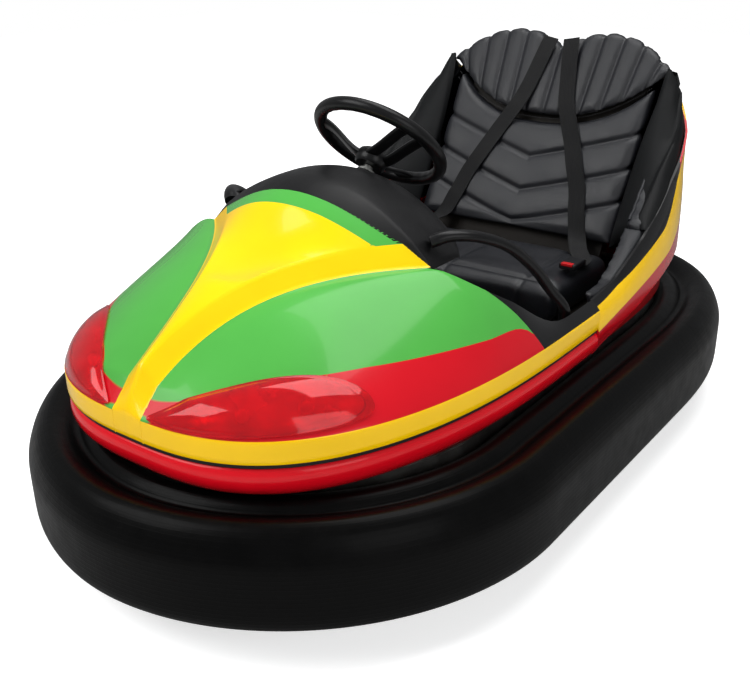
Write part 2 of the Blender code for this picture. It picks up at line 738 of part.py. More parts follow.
# ---------------------------------------------------------------- drive unit and wheels
def drive_unit(paint, steel, rubber, motor_finish):
    swivel = empty("drive_swivel", (0.0, DRIVE_Y, 0.0))
    plate_low, plate_top = DRIVE_PLATE_Z, DRIVE_PLATE_Z + DRIVE_PLATE
    half_x, half_y = DRIVE_PLATE_HALF
    low, high = (-half_x, DRIVE_Y - half_y, plate_low), (half_x, DRIVE_Y + half_y, plate_top)
    plate = box("drive_plate", low, high, paint)
    hole_profile = [(0, 0.2), (0.062, 0.2), (0.062, 0.35), (0, 0.35)]
    hole = helper("drive_plate_hole", turned("drive_plate_hole", hole_profile, 24))
    hole.location = (0, DRIVE_Y, 0)
    boolean(plate, hole, "DIFFERENCE")
    run = 0.001  # running clearance of the turntable on its plate
    crown_top = plate_low - run
    crown_low = DRIVE_WHEEL_R * 2 + 0.002 - 0.001
    leg_in, leg_out = DRIVE_WHEEL_WIDTH / 2 + 0.006, DRIVE_WHEEL_WIDTH / 2 + 0.018
    crown_profile = [
        (0, crown_low),
        (TURNTABLE_R, crown_low),
        (TURNTABLE_R, crown_top),
        (0.060, crown_top),
        (0.060, plate_top + run),
        (TURNTABLE_R, plate_top + run),
        (TURNTABLE_R, plate_top + run + 0.012),
        (0, plate_top + run + 0.012),
    ]
    base = place("drive_fork", turned("drive_fork", crown_profile, 28), paint, swivel)
    for side in (-1, 1):
        work = bmesh.new()
        x0, x1 = sorted((side * leg_in, side * leg_out))
        box_into(work, (x0, -0.035, DRIVE_WHEEL_R - 0.03), (x1, 0.035, crown_low + 0.004))
        leg = helper(f"fork_leg_{side}", bm_to_mesh("fork_leg", work))
        leg.parent = swivel
        boolean(base, leg, "UNION")
        hole = helper(f"fork_bore_{side}", axle_bore(0.02))
        hole.location = (side * (leg_in + leg_out) / 2, 0, DRIVE_WHEEL_R)
        hole.parent = swivel
        boolean(base, hole, "DIFFERENCE")
    motor_half = MOTOR_LENGTH / 2
    motor_profile = [(0, -motor_half), (MOTOR_R, -motor_half), (MOTOR_R, motor_half), (0, motor_half)]
    motor = place("drive_motor", turned("drive_motor", motor_profile, 24, "X"), motor_finish, swivel)
    motor.location = (0, 0, plate_top + run + 0.012 + GAP + MOTOR_R)
    axle = empty("drive_axle_line", (0.0, 0.0, DRIVE_WHEEL_R))
    axle.parent = swivel
    wheel(axle, "drive", DRIVE_WHEEL_R, DRIVE_WHEEL_WIDTH, leg_out + 0.006, steel, rubber)


def axle_bore(half_length):
    """Cutter of the plain bore that an axle turns in."""
    bore_r = AXLE_R + GAP
    profile = [(0, -half_length), (bore_r, -half_length), (bore_r, half_length), (0, half_length)]
    return turned("axle_bore", profile, 24, "X")


def wheel(parent, name, radius, width, axle_half, steel, rubber):
    """A solid-rubber wheel on a hub with its axle, turning about X."""
    hub_r = radius * 0.62
    tyre = [
        (hub_r + GAP, -width / 2),
        (radius - 0.004, -width / 2),
        (radius, -width / 2 + 0.006),
        (radius, width / 2 - 0.006),
        (radius - 0.004, width / 2),
        (hub_r + GAP, width / 2),
    ]
    place(f"{name}_tyre", turned(f"{name}_tyre", tyre, 24, "X"), rubber, parent)
    half_hub = [
        (0, axle_half),
        (AXLE_R, axle_half),
        (AXLE_R, width / 2 + 0.003),
        (0.022, width / 2 + 0.003),
        (0.022, width / 4),
        (hub_r - 0.008, width / 4),
        (hub_r - 0.008, width / 2),
        (hub_r, width / 2),
    ]
    hub = [(r, -x) for r, x in half_hub] + half_hub[::-1]
    place(f"{name}_hub", turned(f"{name}_hub", hub, 24, "X"), steel, parent)


def rear_running_gear(paint, steel, rubber):
    bracket_z0 = REAR_WHEEL_R - 0.022
    for side, label in ((1, "left"), (-1, "right")):
        line = empty(f"rear_axle_line_{label}", (side * REAR_WHEEL_X, REAR_AXLE_Y, REAR_WHEEL_R))
        leg_in, leg_out = REAR_WHEEL_WIDTH / 2 + 0.006, REAR_WHEEL_WIDTH / 2 + 0.012
        wheel(line, f"rear_wheel_{label}", REAR_WHEEL_R, REAR_WHEEL_WIDTH, leg_out + 0.004, steel, rubber)
        work = bmesh.new()
        inner_x = side * (RAIL_X + FRAME_TUBE / 2 + GAP)
        x0, x1 = sorted((inner_x, side * (REAR_WHEEL_X + leg_out)))
        box_into(work, (x0, REAR_AXLE_Y - 0.04, 0.158), (x1, REAR_AXLE_Y + 0.04, 0.166))
        base = place(f"rear_bracket_{label}", bm_to_mesh("rear_bracket", work), paint)
        for number, (a, b) in enumerate(((-leg_out, -leg_in), (leg_in, leg_out))):
            work = bmesh.new()
            leg_low = (side * REAR_WHEEL_X + a, REAR_AXLE_Y - 0.022, bracket_z0)
            leg_high = (side * REAR_WHEEL_X + b, REAR_AXLE_Y + 0.022, 0.162)
            box_into(work, leg_low, leg_high)
            boolean(base, helper(f"bracket_leg_{label}_{number}", bm_to_mesh("bracket_leg", work)), "UNION")
            hole = helper(f"bracket_bore_{label}_{number}", axle_bore(0.01))
            hole.location = (side * REAR_WHEEL_X + (a + b) / 2, REAR_AXLE_Y, REAR_WHEEL_R)
            boolean(base, hole, "DIFFERENCE")


# ---------------------------------------------------------------- steering
def steering(black, steel, bellows_finish):
    """Everything on the column's axis, built along +Z and tilted back by its empty."""
    head = empty("steering_line", WHEEL_CENTRE, (-COLUMN_TILT, 0.0, 0.0))
    hub_z = -0.050
    ring = []
    for step in range(8):
        turn = 2 * math.pi * step / 8
        ring.append((WHEEL_RIM_R + WHEEL_TUBE_R * math.cos(turn), WHEEL_TUBE_R * math.sin(turn)))
    rim = place("steering_wheel", turned("steering_wheel", ring, 36), black, head)
    pad_profile = [
        (0, hub_z - 0.012),
        (0.034, hub_z - 0.012),
        (0.034, hub_z + 0.02),
        (0.020, hub_z + 0.026),
        (0, hub_z + 0.028),
    ]
    pad = helper("wheel_pad", turned("wheel_pad", pad_profile, 20))
    pad.parent = head
    boolean(rim, pad, "UNION")
    for number, turn in enumerate((90.0, 205.0, 335.0)):
        work = bmesh.new()
        a = Vector((0.015, 0.0, hub_z + 0.006))
        b = Vector((WHEEL_RIM_R - 0.002, 0.0, 0.0))
        along = (b - a).normalized()
        up = along.cross(Vector((0, 1, 0))).normalized()
        length = (b - a).length
        made = bmesh.ops.create_cube(work, size=1.0, matrix=Matrix.Diagonal((length, 0.026, 0.010, 1)))
        basis = Matrix((along, Vector((0, 1, 0)), up)).transposed().to_4x4()
        where = Matrix.Rotation(math.radians(turn), 4, "Z") @ Matrix.Translation((a + b) / 2) @ basis
        bmesh.ops.transform(work, matrix=where, verts=made["verts"])
        spoke = helper(f"wheel_spoke_{number}", bm_to_mesh("wheel_spoke", work))
        spoke.parent = head
        boolean(rim, spoke, "UNION")
    top = hub_z - 0.012 - GAP
    bottom = top - COLUMN_LENGTH
    shaft = [(0, bottom), (COLUMN_R, bottom), (COLUMN_R, top), (0, top)]
    place("steering_shaft", turned("steering_shaft", shaft, 24), steel, head)
    inner = COLUMN_R + 0.0008
    tube_top = top - 0.010
    tube_low = bottom + 0.020
    outer_r = COLUMN_R + 0.009
    tube = [(inner, tube_low), (outer_r, tube_low), (outer_r, tube_top), (inner, tube_top)]
    place("column_tube", turned("column_tube", tube, 24), steel, head)
    ribs = 5
    fold = [(outer_r + GAP, BELLOWS_LOW), (BELLOWS_R, BELLOWS_LOW)]
    pitch = (tube_top - 0.004 - BELLOWS_LOW) / ribs
    for rib in range(ribs):
        z = BELLOWS_LOW + pitch * rib
        crest = BELLOWS_R - 0.002 * rib
        fold += [(crest, z + pitch * 0.45), (crest - 0.009, z + pitch * 0.85)]
    fold.append((outer_r + GAP, BELLOWS_LOW + pitch * ribs))
    place("column_bellows", turned("column_bellows", fold, 20), bellows_finish, head)
    around = outer_r + GAP
    work = bmesh.new()
    box_into(work, (-0.035, COLUMN_POST_Y - 0.015, FRAME_TOP + GAP), (0.035, COLUMN_POST_Y + 0.015, 0.545))
    post = place("column_post", bm_to_mesh("column_post", work), steel)
    channel_profile = [(0, -0.5), (around, -0.5), (around, 0.2), (0, 0.2)]
    channel = helper("column_channel", turned("column_channel", channel_profile, 24))
    channel.parent = head
    boolean(post, channel, "DIFFERENCE")


# ---------------------------------------------------------------- cockpit
def cowl_z(x, y):
    return hood_z(x, np.minimum(y, 0.0))


def dash_cowl(finish):
    """Black cowl over the dashboard: it carries the hood's dome back and rolls down into the cockpit."""
    back = 9
    rows = []
    for u in np.linspace(-1.0, 1.0, 2 * COWL_STEPS + 1):
        x = u * ARM_END_X
        start = cowl_line(abs(x)) + 0.0006
        end = COWL_REAR_EDGE_Y - 0.150 * abs(u) ** 2.2
        rows.append([(x, y, 0.0) for y in start + (end - start) * np.linspace(0.0, 1.0, back)])
    grid = np.array(rows)
    top = grid.copy()
    top[..., 2] = cowl_z(grid[..., 0], grid[..., 1])
    low = grid.copy()
    low[..., 2] = top[..., 2] - 0.008
    obj = place("dash_cowl", slab("dash_cowl", top, low), finish)
    hole_r = BELLOWS_R + 0.0008
    hole = helper("cowl_hole", turned("cowl_hole", [(0, -0.5), (hole_r, -0.5), (hole_r, 0.0), (0, 0.0)], 20))
    hole.location = WHEEL_CENTRE
    hole.rotation_euler = (-COLUMN_TILT, 0, 0)
    boolean(obj, hole, "DIFFERENCE")
    return obj


def tube_along(name, points, radius, finish, sides=10, flatten=1.0):
    """A solid bar of round or oval section along a list of points."""
    work = bmesh.new()
    points = [Vector(p) for p in points]
    rings = []
    for k, point in enumerate(points):
        a, b = points[max(k - 1, 0)], points[min(k + 1, len(points) - 1)]
        ahead = (b - a).normalized()
        side = ahead.cross(Vector((0, 0, 1)))
        side = side.normalized() if side.length > 1e-6 else Vector((1, 0, 0))
        up = side.cross(ahead).normalized()
        r = radius[k] if isinstance(radius, (list, tuple)) else radius
        ring = []
        for step in range(sides):
            turn = 2 * math.pi * step / sides
            ring.append(work.verts.new(point + side * (r * math.cos(turn)) + up * (r * flatten * math.sin(turn))))
        rings.append(ring)
    for low, high in zip(rings, rings[1:]):
        for i in range(sides):
            work.faces.new((low[i], low[(i + 1) % sides], high[(i + 1) % sides], high[i]))
    work.faces.new(rings[0][::-1])
    work.faces.new(rings[-1])
    return place(name, bm_to_mesh(name, work), finish)


def smooth_path(points, count):
    """A smooth curve through a few points: Catmull-Rom, evenly stepped."""
    pts = [np.array(p, float) for p in points]
    pts = [2 * pts[0] - pts[1]] + pts + [2 * pts[-1] - pts[-2]]
    out = []
    spans = len(pts) - 3
    for step in np.linspace(0.0, spans, count):
        k = min(int(step), spans - 1)
        t = step - k
        a, b, c, d = pts[k : k + 4]
        out.append(0.5 * (2 * b + (c - a) * t + (2 * a - 5 * b + 4 * c - d) * t**2 + (3 * b - a - 3 * c + d) * t**3))
    return out


def flipped(points, side):
    return [(side * p[0], p[1], p[2]) for p in points]


def grab_loop(side, label, finish):
    """Bar from the cowl's corner, arched over the rim's dip, to a foot against the rim's inner side."""
    x, y = GRAB_START
    start = (x, y, float(cowl_z(x, y)) + GRAB_BAR_R + 0.0005)
    foot_x = BODY_HALF_WIDTH - RIM_INSET - SHELL_WALL - GRAB_BAR_R - 0.0012
    rim = float(hood_z(BODY_HALF_WIDTH - RIM_INSET, GRAB_FOOT_Y))
    foot = [(foot_x, GRAB_FOOT_Y - 0.008, rim + 0.012), (foot_x, GRAB_FOOT_Y, rim - 0.022)]
    path = smooth_path(flipped([start, *GRAB_PATH, *foot], side), 14)
    tube_along(f"grab_loop_{label}", path, GRAB_BAR_R, finish, 8)


def seat_face_y(z):
    """The front face of the backrest at a height: it leans back."""
    return 0.559 + 0.57 * (z - 0.587)


def smile_z(x):
    """The curved seam between backrest and headrest."""
    return np.minimum(0.674 + 0.130 * (np.abs(x) / 0.330) ** 2.4, SMILE_TOP)


def crest_z(x):
    """The headrest's top edge: two humps, a notch between them, and a fall to the corners."""
    across = np.abs(x)
    inner = 0.902 - 0.036 * np.clip((HUMP_X - across) / HUMP_X, 0, 1) ** 2
    return inner - 0.090 * np.clip((across - HUMP_X) / (SEAT_CORNER_X - HUMP_X), 0.0, 1.0) ** 2.2


def pad_slab(name, half_x, low, high, front, back, finish, columns=17, rows=8):
    front_grid_points, back_grid_points = [], []
    for x in np.linspace(-half_x, half_x, columns):
        z = np.linspace(low(x), high(x), rows)
        front_grid_points.append(np.column_stack([np.full(rows, x), front(z), z]))
        back_grid_points.append(np.column_stack([np.full(rows, x), back(x, z), z]))
    return place(name, slab(name, np.array(front_grid_points), np.array(back_grid_points)), finish)


def seats(leather, board):
    half = CUSHION_HALF_WIDTH
    low, high = (-half, SEAT_FRONT_Y + 0.02, FLOOR_TOP + GAP), (half, 0.560, SEAT_BOX_TOP)
    box("seat_box", low, high, board, 0.006)
    low, high = (-half, SEAT_FRONT_Y, SEAT_BOX_TOP + GAP), (half, 0.440, CUSHION_TOP)
    box("seat_cushion", low, high, leather, 0.02)
    board_front = 0.045

    def back_low(x):
        return CUSHION_TOP + 0.008

    def back_high(x):
        return smile_z(x) - GAP

    def back_rear(x, z):
        return seat_face_y(z) + board_front

    def head_low(x):
        return smile_z(x) + GAP

    def head_rear(x, z):
        return seat_face_y(z) + 0.036 * (1 - 0.6 * (x / SEAT_CORNER_X) ** 2)

    def board_low(x):
        return SEAT_BOX_TOP + GAP

    def board_high(x):
        return 0.800

    def board_face(z):
        return seat_face_y(z) + board_front + GAP

    def board_rear(x, z):
        return seat_face_y(z) + board_front + 0.012

    pad_slab("seat_back", BACK_HALF, back_low, back_high, seat_face_y, back_rear, leather)
    pad_slab("headrest_pad", SEAT_CORNER_X, head_low, crest_z, seat_face_y, head_rear, leather, 25, 6)
    pad_slab("seat_board", 0.260, board_low, board_high, board_face, board_rear, board, 9, 4)


def wall_pad(name, side, from_y, to_y, count, widths, drops, rise, finish):
    """Padding on the inner face of the rear shell, under its rim. widths and drops give its thickness and
    its depth below the rim at the front end and at the back end."""
    path = u_path(0.0, 81, True, SEAM_Y + GAP)
    path = path[path[:, 0] > 0]
    y = np.linspace(from_y, to_y, count)
    line = np.stack([np.interp(y, path[:, 1], path[:, 0]), y], axis=1)
    outer, inner = [], []
    for k in range(count):
        share = k / (count - 1)
        rim = float(shell_rim_z(line[k, 0], line[k, 1]))
        lip = float(lip_z(line[k, 1]))
        width = widths[0] + (widths[1] - widths[0]) * share
        drop = drops[0] + (drops[1] - drops[0]) * share
        out, inn = [], []
        for z in np.linspace(rim - drop, rim + rise, 5):
            lean = float(shell_lean(min((z - lip) / (rim - lip), 1.0), z)) + SHELL_WALL + WALL_PAD_GAP
            for points, inset in ((out, lean), (inn, lean + width)):
                point = u_path_point(line, k, inset)
                points.append((side * point[0], from_y if k == 0 else point[1], z))
        outer.append(out)
        inner.append(inn)
    return place(name, slab(name, np.array(outer), np.array(inner)), finish)


def tub_liner(side, label, finish):
    """Moulded inner wall of the cockpit, from the floor up to the pads."""
    outer, inner = [], []
    for y in np.linspace(-0.250, 0.500, 11):
        x = float(half_width_at(y)) - LINER_INSET - 0.020 * max(y - 0.1, 0.0) / 0.46
        top = 0.330 + 0.060 * smooth_step((y + 0.05) / 0.30)
        z = np.linspace(FLOOR_TOP + GAP, top, 4)
        outer.append([(side * x, y, value) for value in z])
        inner.append([(side * (x - 0.005), y, value) for value in z])
    return place(f"tub_liner_{label}", slab(f"tub_liner_{label}", np.array(outer), np.array(inner)), finish)


def belt(side, label, webbing, steel):
    """Flat webbing from the notch between the humps, down the backrest and over the cushion to its buckle."""
    back = [(x, float(seat_face_y(z)), z) for x, z in BELT_ON_BACK]
    seat = [(x, y, CUSHION_TOP) for x, y in BELT_ON_SEAT]
    corner = (0.5 * (back[-1][0] + seat[0][0]), seat[0][1] + 0.022, CUSHION_TOP + 0.010)
    points = [np.array(point) for point in flipped([*back, corner, *seat], side)]
    lean = np.array([0.0, -0.869, 0.495])
    outer, inner = [], []
    for k, point in enumerate(points):
        ahead = points[min(k + 1, len(points) - 1)] - points[max(k - 1, 0)]
        flat = float(smooth_step((0.478 - point[1]) / 0.050))
        out = lean * (1.0 - flat) + np.array([0.0, 0.0, 1.0]) * flat
        across = np.cross(ahead, out)
        across *= BELT_WIDTH / 2 / np.linalg.norm(across)
        outer.append([point - across + out * 0.0028, point + across + out * 0.0028])
        inner.append([point - across + out * 0.0010, point + across + out * 0.0010])
    place(f"belt_{label}", slab(f"belt_{label}", np.array(outer), np.array(inner)), webbing)
    x, y = side * BELT_ON_SEAT[-1][0], BELT_ON_SEAT[-1][1] - GAP
    low, high = (x - 0.022, y - 0.065, CUSHION_TOP + GAP), (x + 0.022, y, CUSHION_TOP + 0.016)
    box(f"belt_buckle_{label}", low, high, steel, 0.003)


def pedal(steel, rubber):
    """Accelerator treadle, hinged at the heel on its base, and drawn at rest."""
    x, y = PEDAL_AT
    low, high = (x - 0.030, y, FLOOR_TOP + GAP), (x + 0.030, y + 0.060, FLOOR_TOP + 0.010)
    box("pedal_base", low, high, steel)
    work = bmesh.new()
    middle = Matrix.Translation((x, y - 0.022, FLOOR_TOP + 0.0545)) @ Matrix.Rotation(math.radians(-38.0), 4, "X")
    bmesh.ops.create_cube(work, size=1.0, matrix=middle @ Matrix.Diagonal((0.056, 0.130, 0.010, 1)))
    place("pedal", bm_to_mesh("pedal", work), rubber)


def main():
    clear_scene()
    shell = material("painted_shell", (0.16, 0.62, 0.20), 0.15)
    red = material("red_moulding", (0.75, 0.02, 0.03), 0.2)
    rubber = material("black_rubber", (0.02, 0.02, 0.02), 0.35)
    wheel_rubber = material("wheel_rubber", (0.04, 0.04, 0.04), 0.7)
    frame_paint = material("frame_paint", (0.05, 0.05, 0.055), 0.5)
    steel = material("zinc_steel", (0.62, 0.62, 0.60), 0.35, 0.9)
    motor_grey = material("motor_grey", (0.18, 0.20, 0.21), 0.45)
    trim = material("black_trim", (0.015, 0.015, 0.016), 0.25)
    leather = material("black_leatherette", (0.05, 0.05, 0.055), 0.5)
    board = material("seat_board", (0.08, 0.07, 0.06), 0.7)

    bumper_tyre(rubber)
    bumper_rim(steel)
    body_mount_plate(steel)
    chassis_frame(frame_paint)
    floor_pan(frame_paint)
    skirt_columns = [
        (SKIRT_INSET, SKIRT_BOTTOM),
        (0.016, 0.300),
        (0.005, 0.316),
        (0.001, 0.334),
        (0.006, 0.3515),
    ]
    u_wall("front_skirt", skirt_columns, SHELL_WALL, 41, False, SEAM_Y, red)
    seal_columns = [(0.007, 0.3518), (0.007, BAND_BOTTOM - GAP)]
    u_wall("joint_seal", seal_columns, 0.014, 41, False, SEAM_Y - 0.004, rubber)
    rear_columns = [(SKIRT_INSET + 0.002, SKIRT_BOTTOM), (SKIRT_INSET, skirt_top_z)]
    u_wall("rear_skirt", rear_columns, SHELL_WALL, 41, True, SEAM_Y + GAP, red)
    front_body(shell)
    rear_body(shell)
    drive_unit(frame_paint, steel, wheel_rubber, motor_grey)
    rear_running_gear(frame_paint, steel, wheel_rubber)
    steering(trim, steel, rubber)
    dash_cowl(trim)
    lamps(material("red_lens", (0.6, 0.0, 0.02), 0.05, alpha=0.5), material("lamp_bowl", (0.7, 0.1, 0.1), 0.2))
    webbing = material("belt_webbing", (0.03, 0.03, 0.035), 0.7)
    for side, label in ((1, "left"), (-1, "right")):
        grab_loop(side, label, trim)
        bolster, pad_end = f"seat_bolster_{label}", BOLSTER_FRONT_Y - GAP
        wall_pad(bolster, side, BOLSTER_FRONT_Y, BOLSTER_REAR_Y, 8, (0.055, 0.075), (0.13, 0.13), 0.010, leather)
        wall_pad(f"side_pad_{label}", side, PAD_FRONT_Y, pad_end, 7, (0.022, 0.052), (0.030, 0.075), 0.004, leather)
        tub_liner(side, label, trim)
        belt(side, label, webbing, steel)
    seats(leather, board)
    pedal(steel, rubber)


if __name__ == "__main__":
    main()
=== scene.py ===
"""Looks of a two-seat bumper car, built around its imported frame.

Frame: metres, +Z up, the nose towards -Y, the driver's left towards +X.
"""

import json
import logging
import math
from dataclasses import dataclass, field
from enum import Enum
from typing import Any, Callable, Sequence

import bmesh
import bpy
import numpy as np
from mathutils import Matrix, Vector


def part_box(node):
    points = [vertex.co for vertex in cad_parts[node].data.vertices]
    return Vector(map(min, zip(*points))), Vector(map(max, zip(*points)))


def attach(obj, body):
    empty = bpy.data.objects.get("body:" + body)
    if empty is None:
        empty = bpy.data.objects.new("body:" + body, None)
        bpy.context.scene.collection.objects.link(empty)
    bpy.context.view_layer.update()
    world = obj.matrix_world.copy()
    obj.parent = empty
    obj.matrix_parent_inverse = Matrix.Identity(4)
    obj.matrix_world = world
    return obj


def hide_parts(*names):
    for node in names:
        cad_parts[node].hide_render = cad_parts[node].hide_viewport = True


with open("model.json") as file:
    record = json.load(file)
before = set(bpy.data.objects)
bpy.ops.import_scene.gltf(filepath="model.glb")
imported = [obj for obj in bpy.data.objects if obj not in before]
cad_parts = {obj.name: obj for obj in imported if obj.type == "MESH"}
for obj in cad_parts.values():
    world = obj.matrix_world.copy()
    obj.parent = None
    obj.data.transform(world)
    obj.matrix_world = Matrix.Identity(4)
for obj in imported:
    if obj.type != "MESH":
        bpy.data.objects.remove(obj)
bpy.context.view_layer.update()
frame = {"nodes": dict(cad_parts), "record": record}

LOG = logging.getLogger("bumper_car")
Grid = np.ndarray
BODY = "car"


# ---------------------------------------------------------------- colour and nodes
def linear(hex_value: str) -> tuple[float, float, float, float]:
    """Turns an sRGB hex value to a linear colour.

    Args:
        hex_value: six hex digits, with or without a leading #.

    Returns:
        The linear colour with an alpha of one.
    """
    digits = hex_value.lstrip("#")
    channels = [int(digits[i : i + 2], 16) / 255.0 for i in (0, 2, 4)]
    values = [c / 12.92 if c <= 0.04045 else ((c + 0.055) / 1.055) ** 2.4 for c in channels]
    return values[0], values[1], values[2], 1.0


def add_node(
    tree: Any, kind: str, settings: dict[str, Any] | None = None, links: dict[Any, Any] | None = None
) -> Any:
    """Adds one node to a tree.

    Args:
        tree: the node tree.
        kind: the node's type name.
        settings: attribute names, or input names and numbers, with their values.
        links: input names or numbers with the output socket that feeds each.

    Returns:
        The node.
    """
    made = tree.nodes.new(kind)
    for name, value in (settings or {}).items():
        if isinstance(name, int) or name in made.inputs:
            made.inputs[name].default_value = value
        else:
            setattr(made, name, value)
    for name, socket in (links or {}).items():
        tree.links.new(socket, made.inputs[name])
    return made


def remap_node(
    tree: Any, value: Any, low: float, high: float, to_low: float = 0.0, to_high: float = 1.0
) -> Any:
    """Adds a node that maps a socket's value from low and high to two new ends, and holds it between them."""
    ends = {"From Min": low, "From Max": high, "To Min": to_low, "To Max": to_high}
    return add_node(tree, "ShaderNodeMapRange", ends, {"Value": value})


def maths_node(tree: Any, operation: str, *inputs: Any) -> Any:
    """Adds a sum of sockets and numbers, in the order of the node's inputs."""
    numbers = {k: value for k, value in enumerate(inputs) if isinstance(value, (int, float))}
    sockets = {k: value for k, value in enumerate(inputs) if k not in numbers}
    return add_node(tree, "ShaderNodeMath", {"operation": operation, **numbers}, sockets)


def noise_node(tree: Any, place: Any, scale: float, detail: float) -> Any:
    """Adds a noise of the given scale and detail at a place."""
    return add_node(tree, "ShaderNodeTexNoise", {"Scale": scale, "Detail": detail}, {"Vector": place})


@dataclass(frozen=True)
class Finish:
    """A surface finish: what it is, its colour and how it takes light.

    Args:
        name: what the material is and how it was made.
        colour: sRGB hex value.
        roughness: of the surface in the light's eye.
        metallic: 1 for bare metal.
        coat: weight of a clear coat.
        coat_roughness: of that coat.
        ior: index of refraction of a non-metal.
        grain: size of the bump's pattern, in millimetres.
        bump: height of the bump, in millimetres.
        mottle: share by which the colour varies over the surface.
        mottle_size: size of that variation, in millimetres.
        wear: extra roughness in the worn patches.
        sheen: weight of the cloth's sheen.
        specular: specular level.
    """

    name: str
    colour: str
    roughness: float = 0.5
    metallic: float = 0.0
    coat: float = 0.0
    coat_roughness: float = 0.05
    ior: float = 1.5
    grain: float = 0.0
    bump: float = 0.0
    mottle: float = 0.06
    mottle_size: float = 120.0
    wear: float = 0.08
    sheen: float = 0.0
    specular: float = 0.5

    def make(self) -> bpy.types.Material:
        """Makes the material once, and gives it again when asked again."""
        known = bpy.data.materials.get(self.name)
        if known is not None:
            return known
        made = bpy.data.materials.new(self.name)
        made.use_nodes = True
        tree = made.node_tree
        shader = tree.nodes["Principled BSDF"]
        shader.inputs["Metallic"].default_value = self.metallic
        shader.inputs["Coat Weight"].default_value = self.coat
        shader.inputs["Coat Roughness"].default_value = self.coat_roughness
        shader.inputs["Sheen Weight"].default_value = self.sheen
        shader.inputs["Specular IOR Level"].default_value = self.specular
        if not self.metallic:
            shader.inputs["IOR"].default_value = self.ior
        place = add_node(tree, "ShaderNodeTexCoord")
        cloud = add_node(
            tree,
            "ShaderNodeTexNoise",
            {"Scale": 1000.0 / self.mottle_size, "Detail": 5.0, "Roughness": 0.62},
            {"Vector": place.outputs["Object"]},
        )
        tint = self.colour_node(tree, cloud, place)
        tree.links.new(tint, shader.inputs["Base Color"])
        rough = add_node(
            tree,
            "ShaderNodeMapRange",
            {
                "From Min": 0.35,
                "From Max": 0.70,
                "To Min": self.roughness,
                "To Max": min(self.roughness + self.wear, 1.0),
            },
            {"Value": cloud.outputs["Fac"]},
        )
        tree.links.new(rough.outputs["Result"], shader.inputs["Roughness"])
        if self.bump:
            height = self.height_node(tree, place)
            bump = add_node(
                tree,
                "ShaderNodeBump",
                {"Strength": 1.0, "Distance": self.bump / 1000.0},
                {"Height": height},
            )
            tree.links.new(bump.outputs["Normal"], shader.inputs["Normal"])
        return made

    def colour_node(self, tree: Any, cloud: Any, place: Any) -> Any:
        """The socket that gives the surface's colour."""
        base = linear(self.colour)
        ramp = remap_node(tree, cloud.outputs["Fac"], 0.3, 0.7)
        dark = tuple(c * (1.0 - self.mottle) for c in base[:3]) + (1.0,)
        light = tuple(min(c * (1.0 + self.mottle), 1.0) for c in base[:3]) + (1.0,)
        mixed = add_node(tree, "ShaderNodeMix", {"data_type": "RGBA"}, {0: ramp.outputs["Result"]})
        mixed.inputs[6].default_value = dark
        mixed.inputs[7].default_value = light
        return mixed.outputs[2]

    def height_node(self, tree: Any, place: Any) -> Any:
        """The socket that gives the fine bump's height."""
        fine = add_node(
            tree,
            "ShaderNodeTexNoise",
            {"Scale": 1000.0 / max(self.grain, 0.2), "Detail": 3.0, "Roughness": 0.55},
            {"Vector": place.outputs["Object"]},
        )
        return fine.outputs["Fac"]


@dataclass(frozen=True)
class Grained(Finish):
    """Embossed vinyl: small flat pebbles between fine grooves."""

    def height_node(self, tree: Any, place: Any) -> Any:
        """Rounded cells, as an embossing roll leaves in vinyl."""
        cells = add_node(
            tree,
            "ShaderNodeTexVoronoi",
            {"feature": "DISTANCE_TO_EDGE", "Scale": 1000.0 / self.grain},
            {"Vector": place.outputs["Object"]},
        )
        soft = remap_node(tree, cells.outputs["Distance"], 0.0, 0.25)
        return soft.outputs["Result"]


# Moulded chlorosulphonated rubber, polished by years of knocks: near black, with a wet shine.
RING_RUBBER = Finish(
    "moulded_ring_rubber",
    "#0d0d0e",
    roughness=0.24,
    coat=0.25,
    coat_roughness=0.20,
    grain=14.0,
    bump=0.35,
    mottle=0.35,
    mottle_size=60.0,
    wear=0.22,
)
# Solid rubber tread of the running wheels: dull and dusty.
WHEEL_RUBBER = Finish(
    "solid_wheel_rubber", "#1c1c1d", roughness=0.72, grain=3.0, bump=0.15, mottle=0.2, mottle_size=40.0
)
# Electroplated zinc on pressed steel: pale grey with a soft, uneven shine.
ZINC = Finish(
    "zinc_plated_steel",
    "#b3b4b0",
    roughness=0.34,
    metallic=1.0,
    grain=6.0,
    bump=0.05,
    mottle=0.12,
    mottle_size=50.0,
    wear=0.16,
)
# Black stoving enamel on welded steel tube: smooth, half gloss, a little dusty.
FRAME_BLACK = Finish(
    "black_stoved_enamel",
    "#161718",
    roughness=0.42,
    coat=0.2,
    coat_roughness=0.3,
    grain=9.0,
    bump=0.06,
    mottle=0.15,
)
# Grey motor enamel over a cast housing: orange-peel texture.
MOTOR_GREY = Finish("grey_motor_enamel", "#4c5254", roughness=0.45, grain=2.4, bump=0.08)
# Gel-coated glass fibre in red: deep colour under a glossy resin skin.
RED_GELCOAT = Finish(
    "red_gelcoat",
    "#dd0a1c",
    roughness=0.18,
    coat=0.45,
    coat_roughness=0.05,
    grain=30.0,
    bump=0.04,
    mottle=0.05,
    wear=0.06,
    specular=0.3,
)
# Gloss black moulded plastic of the cowl: shines like paint, with faint scuffs.
BLACK_GLOSS = Finish(
    "gloss_black_moulding",
    "#0b0b0c",
    roughness=0.22,
    coat=0.6,
    coat_roughness=0.08,
    grain=22.0,
    bump=0.05,
    mottle=0.2,
    wear=0.12,
)
# PVC-coated seat cloth, embossed like hide: half matt, catching light on each pebble.
SEAT_VINYL = Grained(
    "embossed_seat_vinyl",
    "#1b1c1e",
    roughness=0.36,
    grain=2.6,
    bump=0.10,
    mottle=0.14,
    mottle_size=90.0,
    wear=0.10,
)
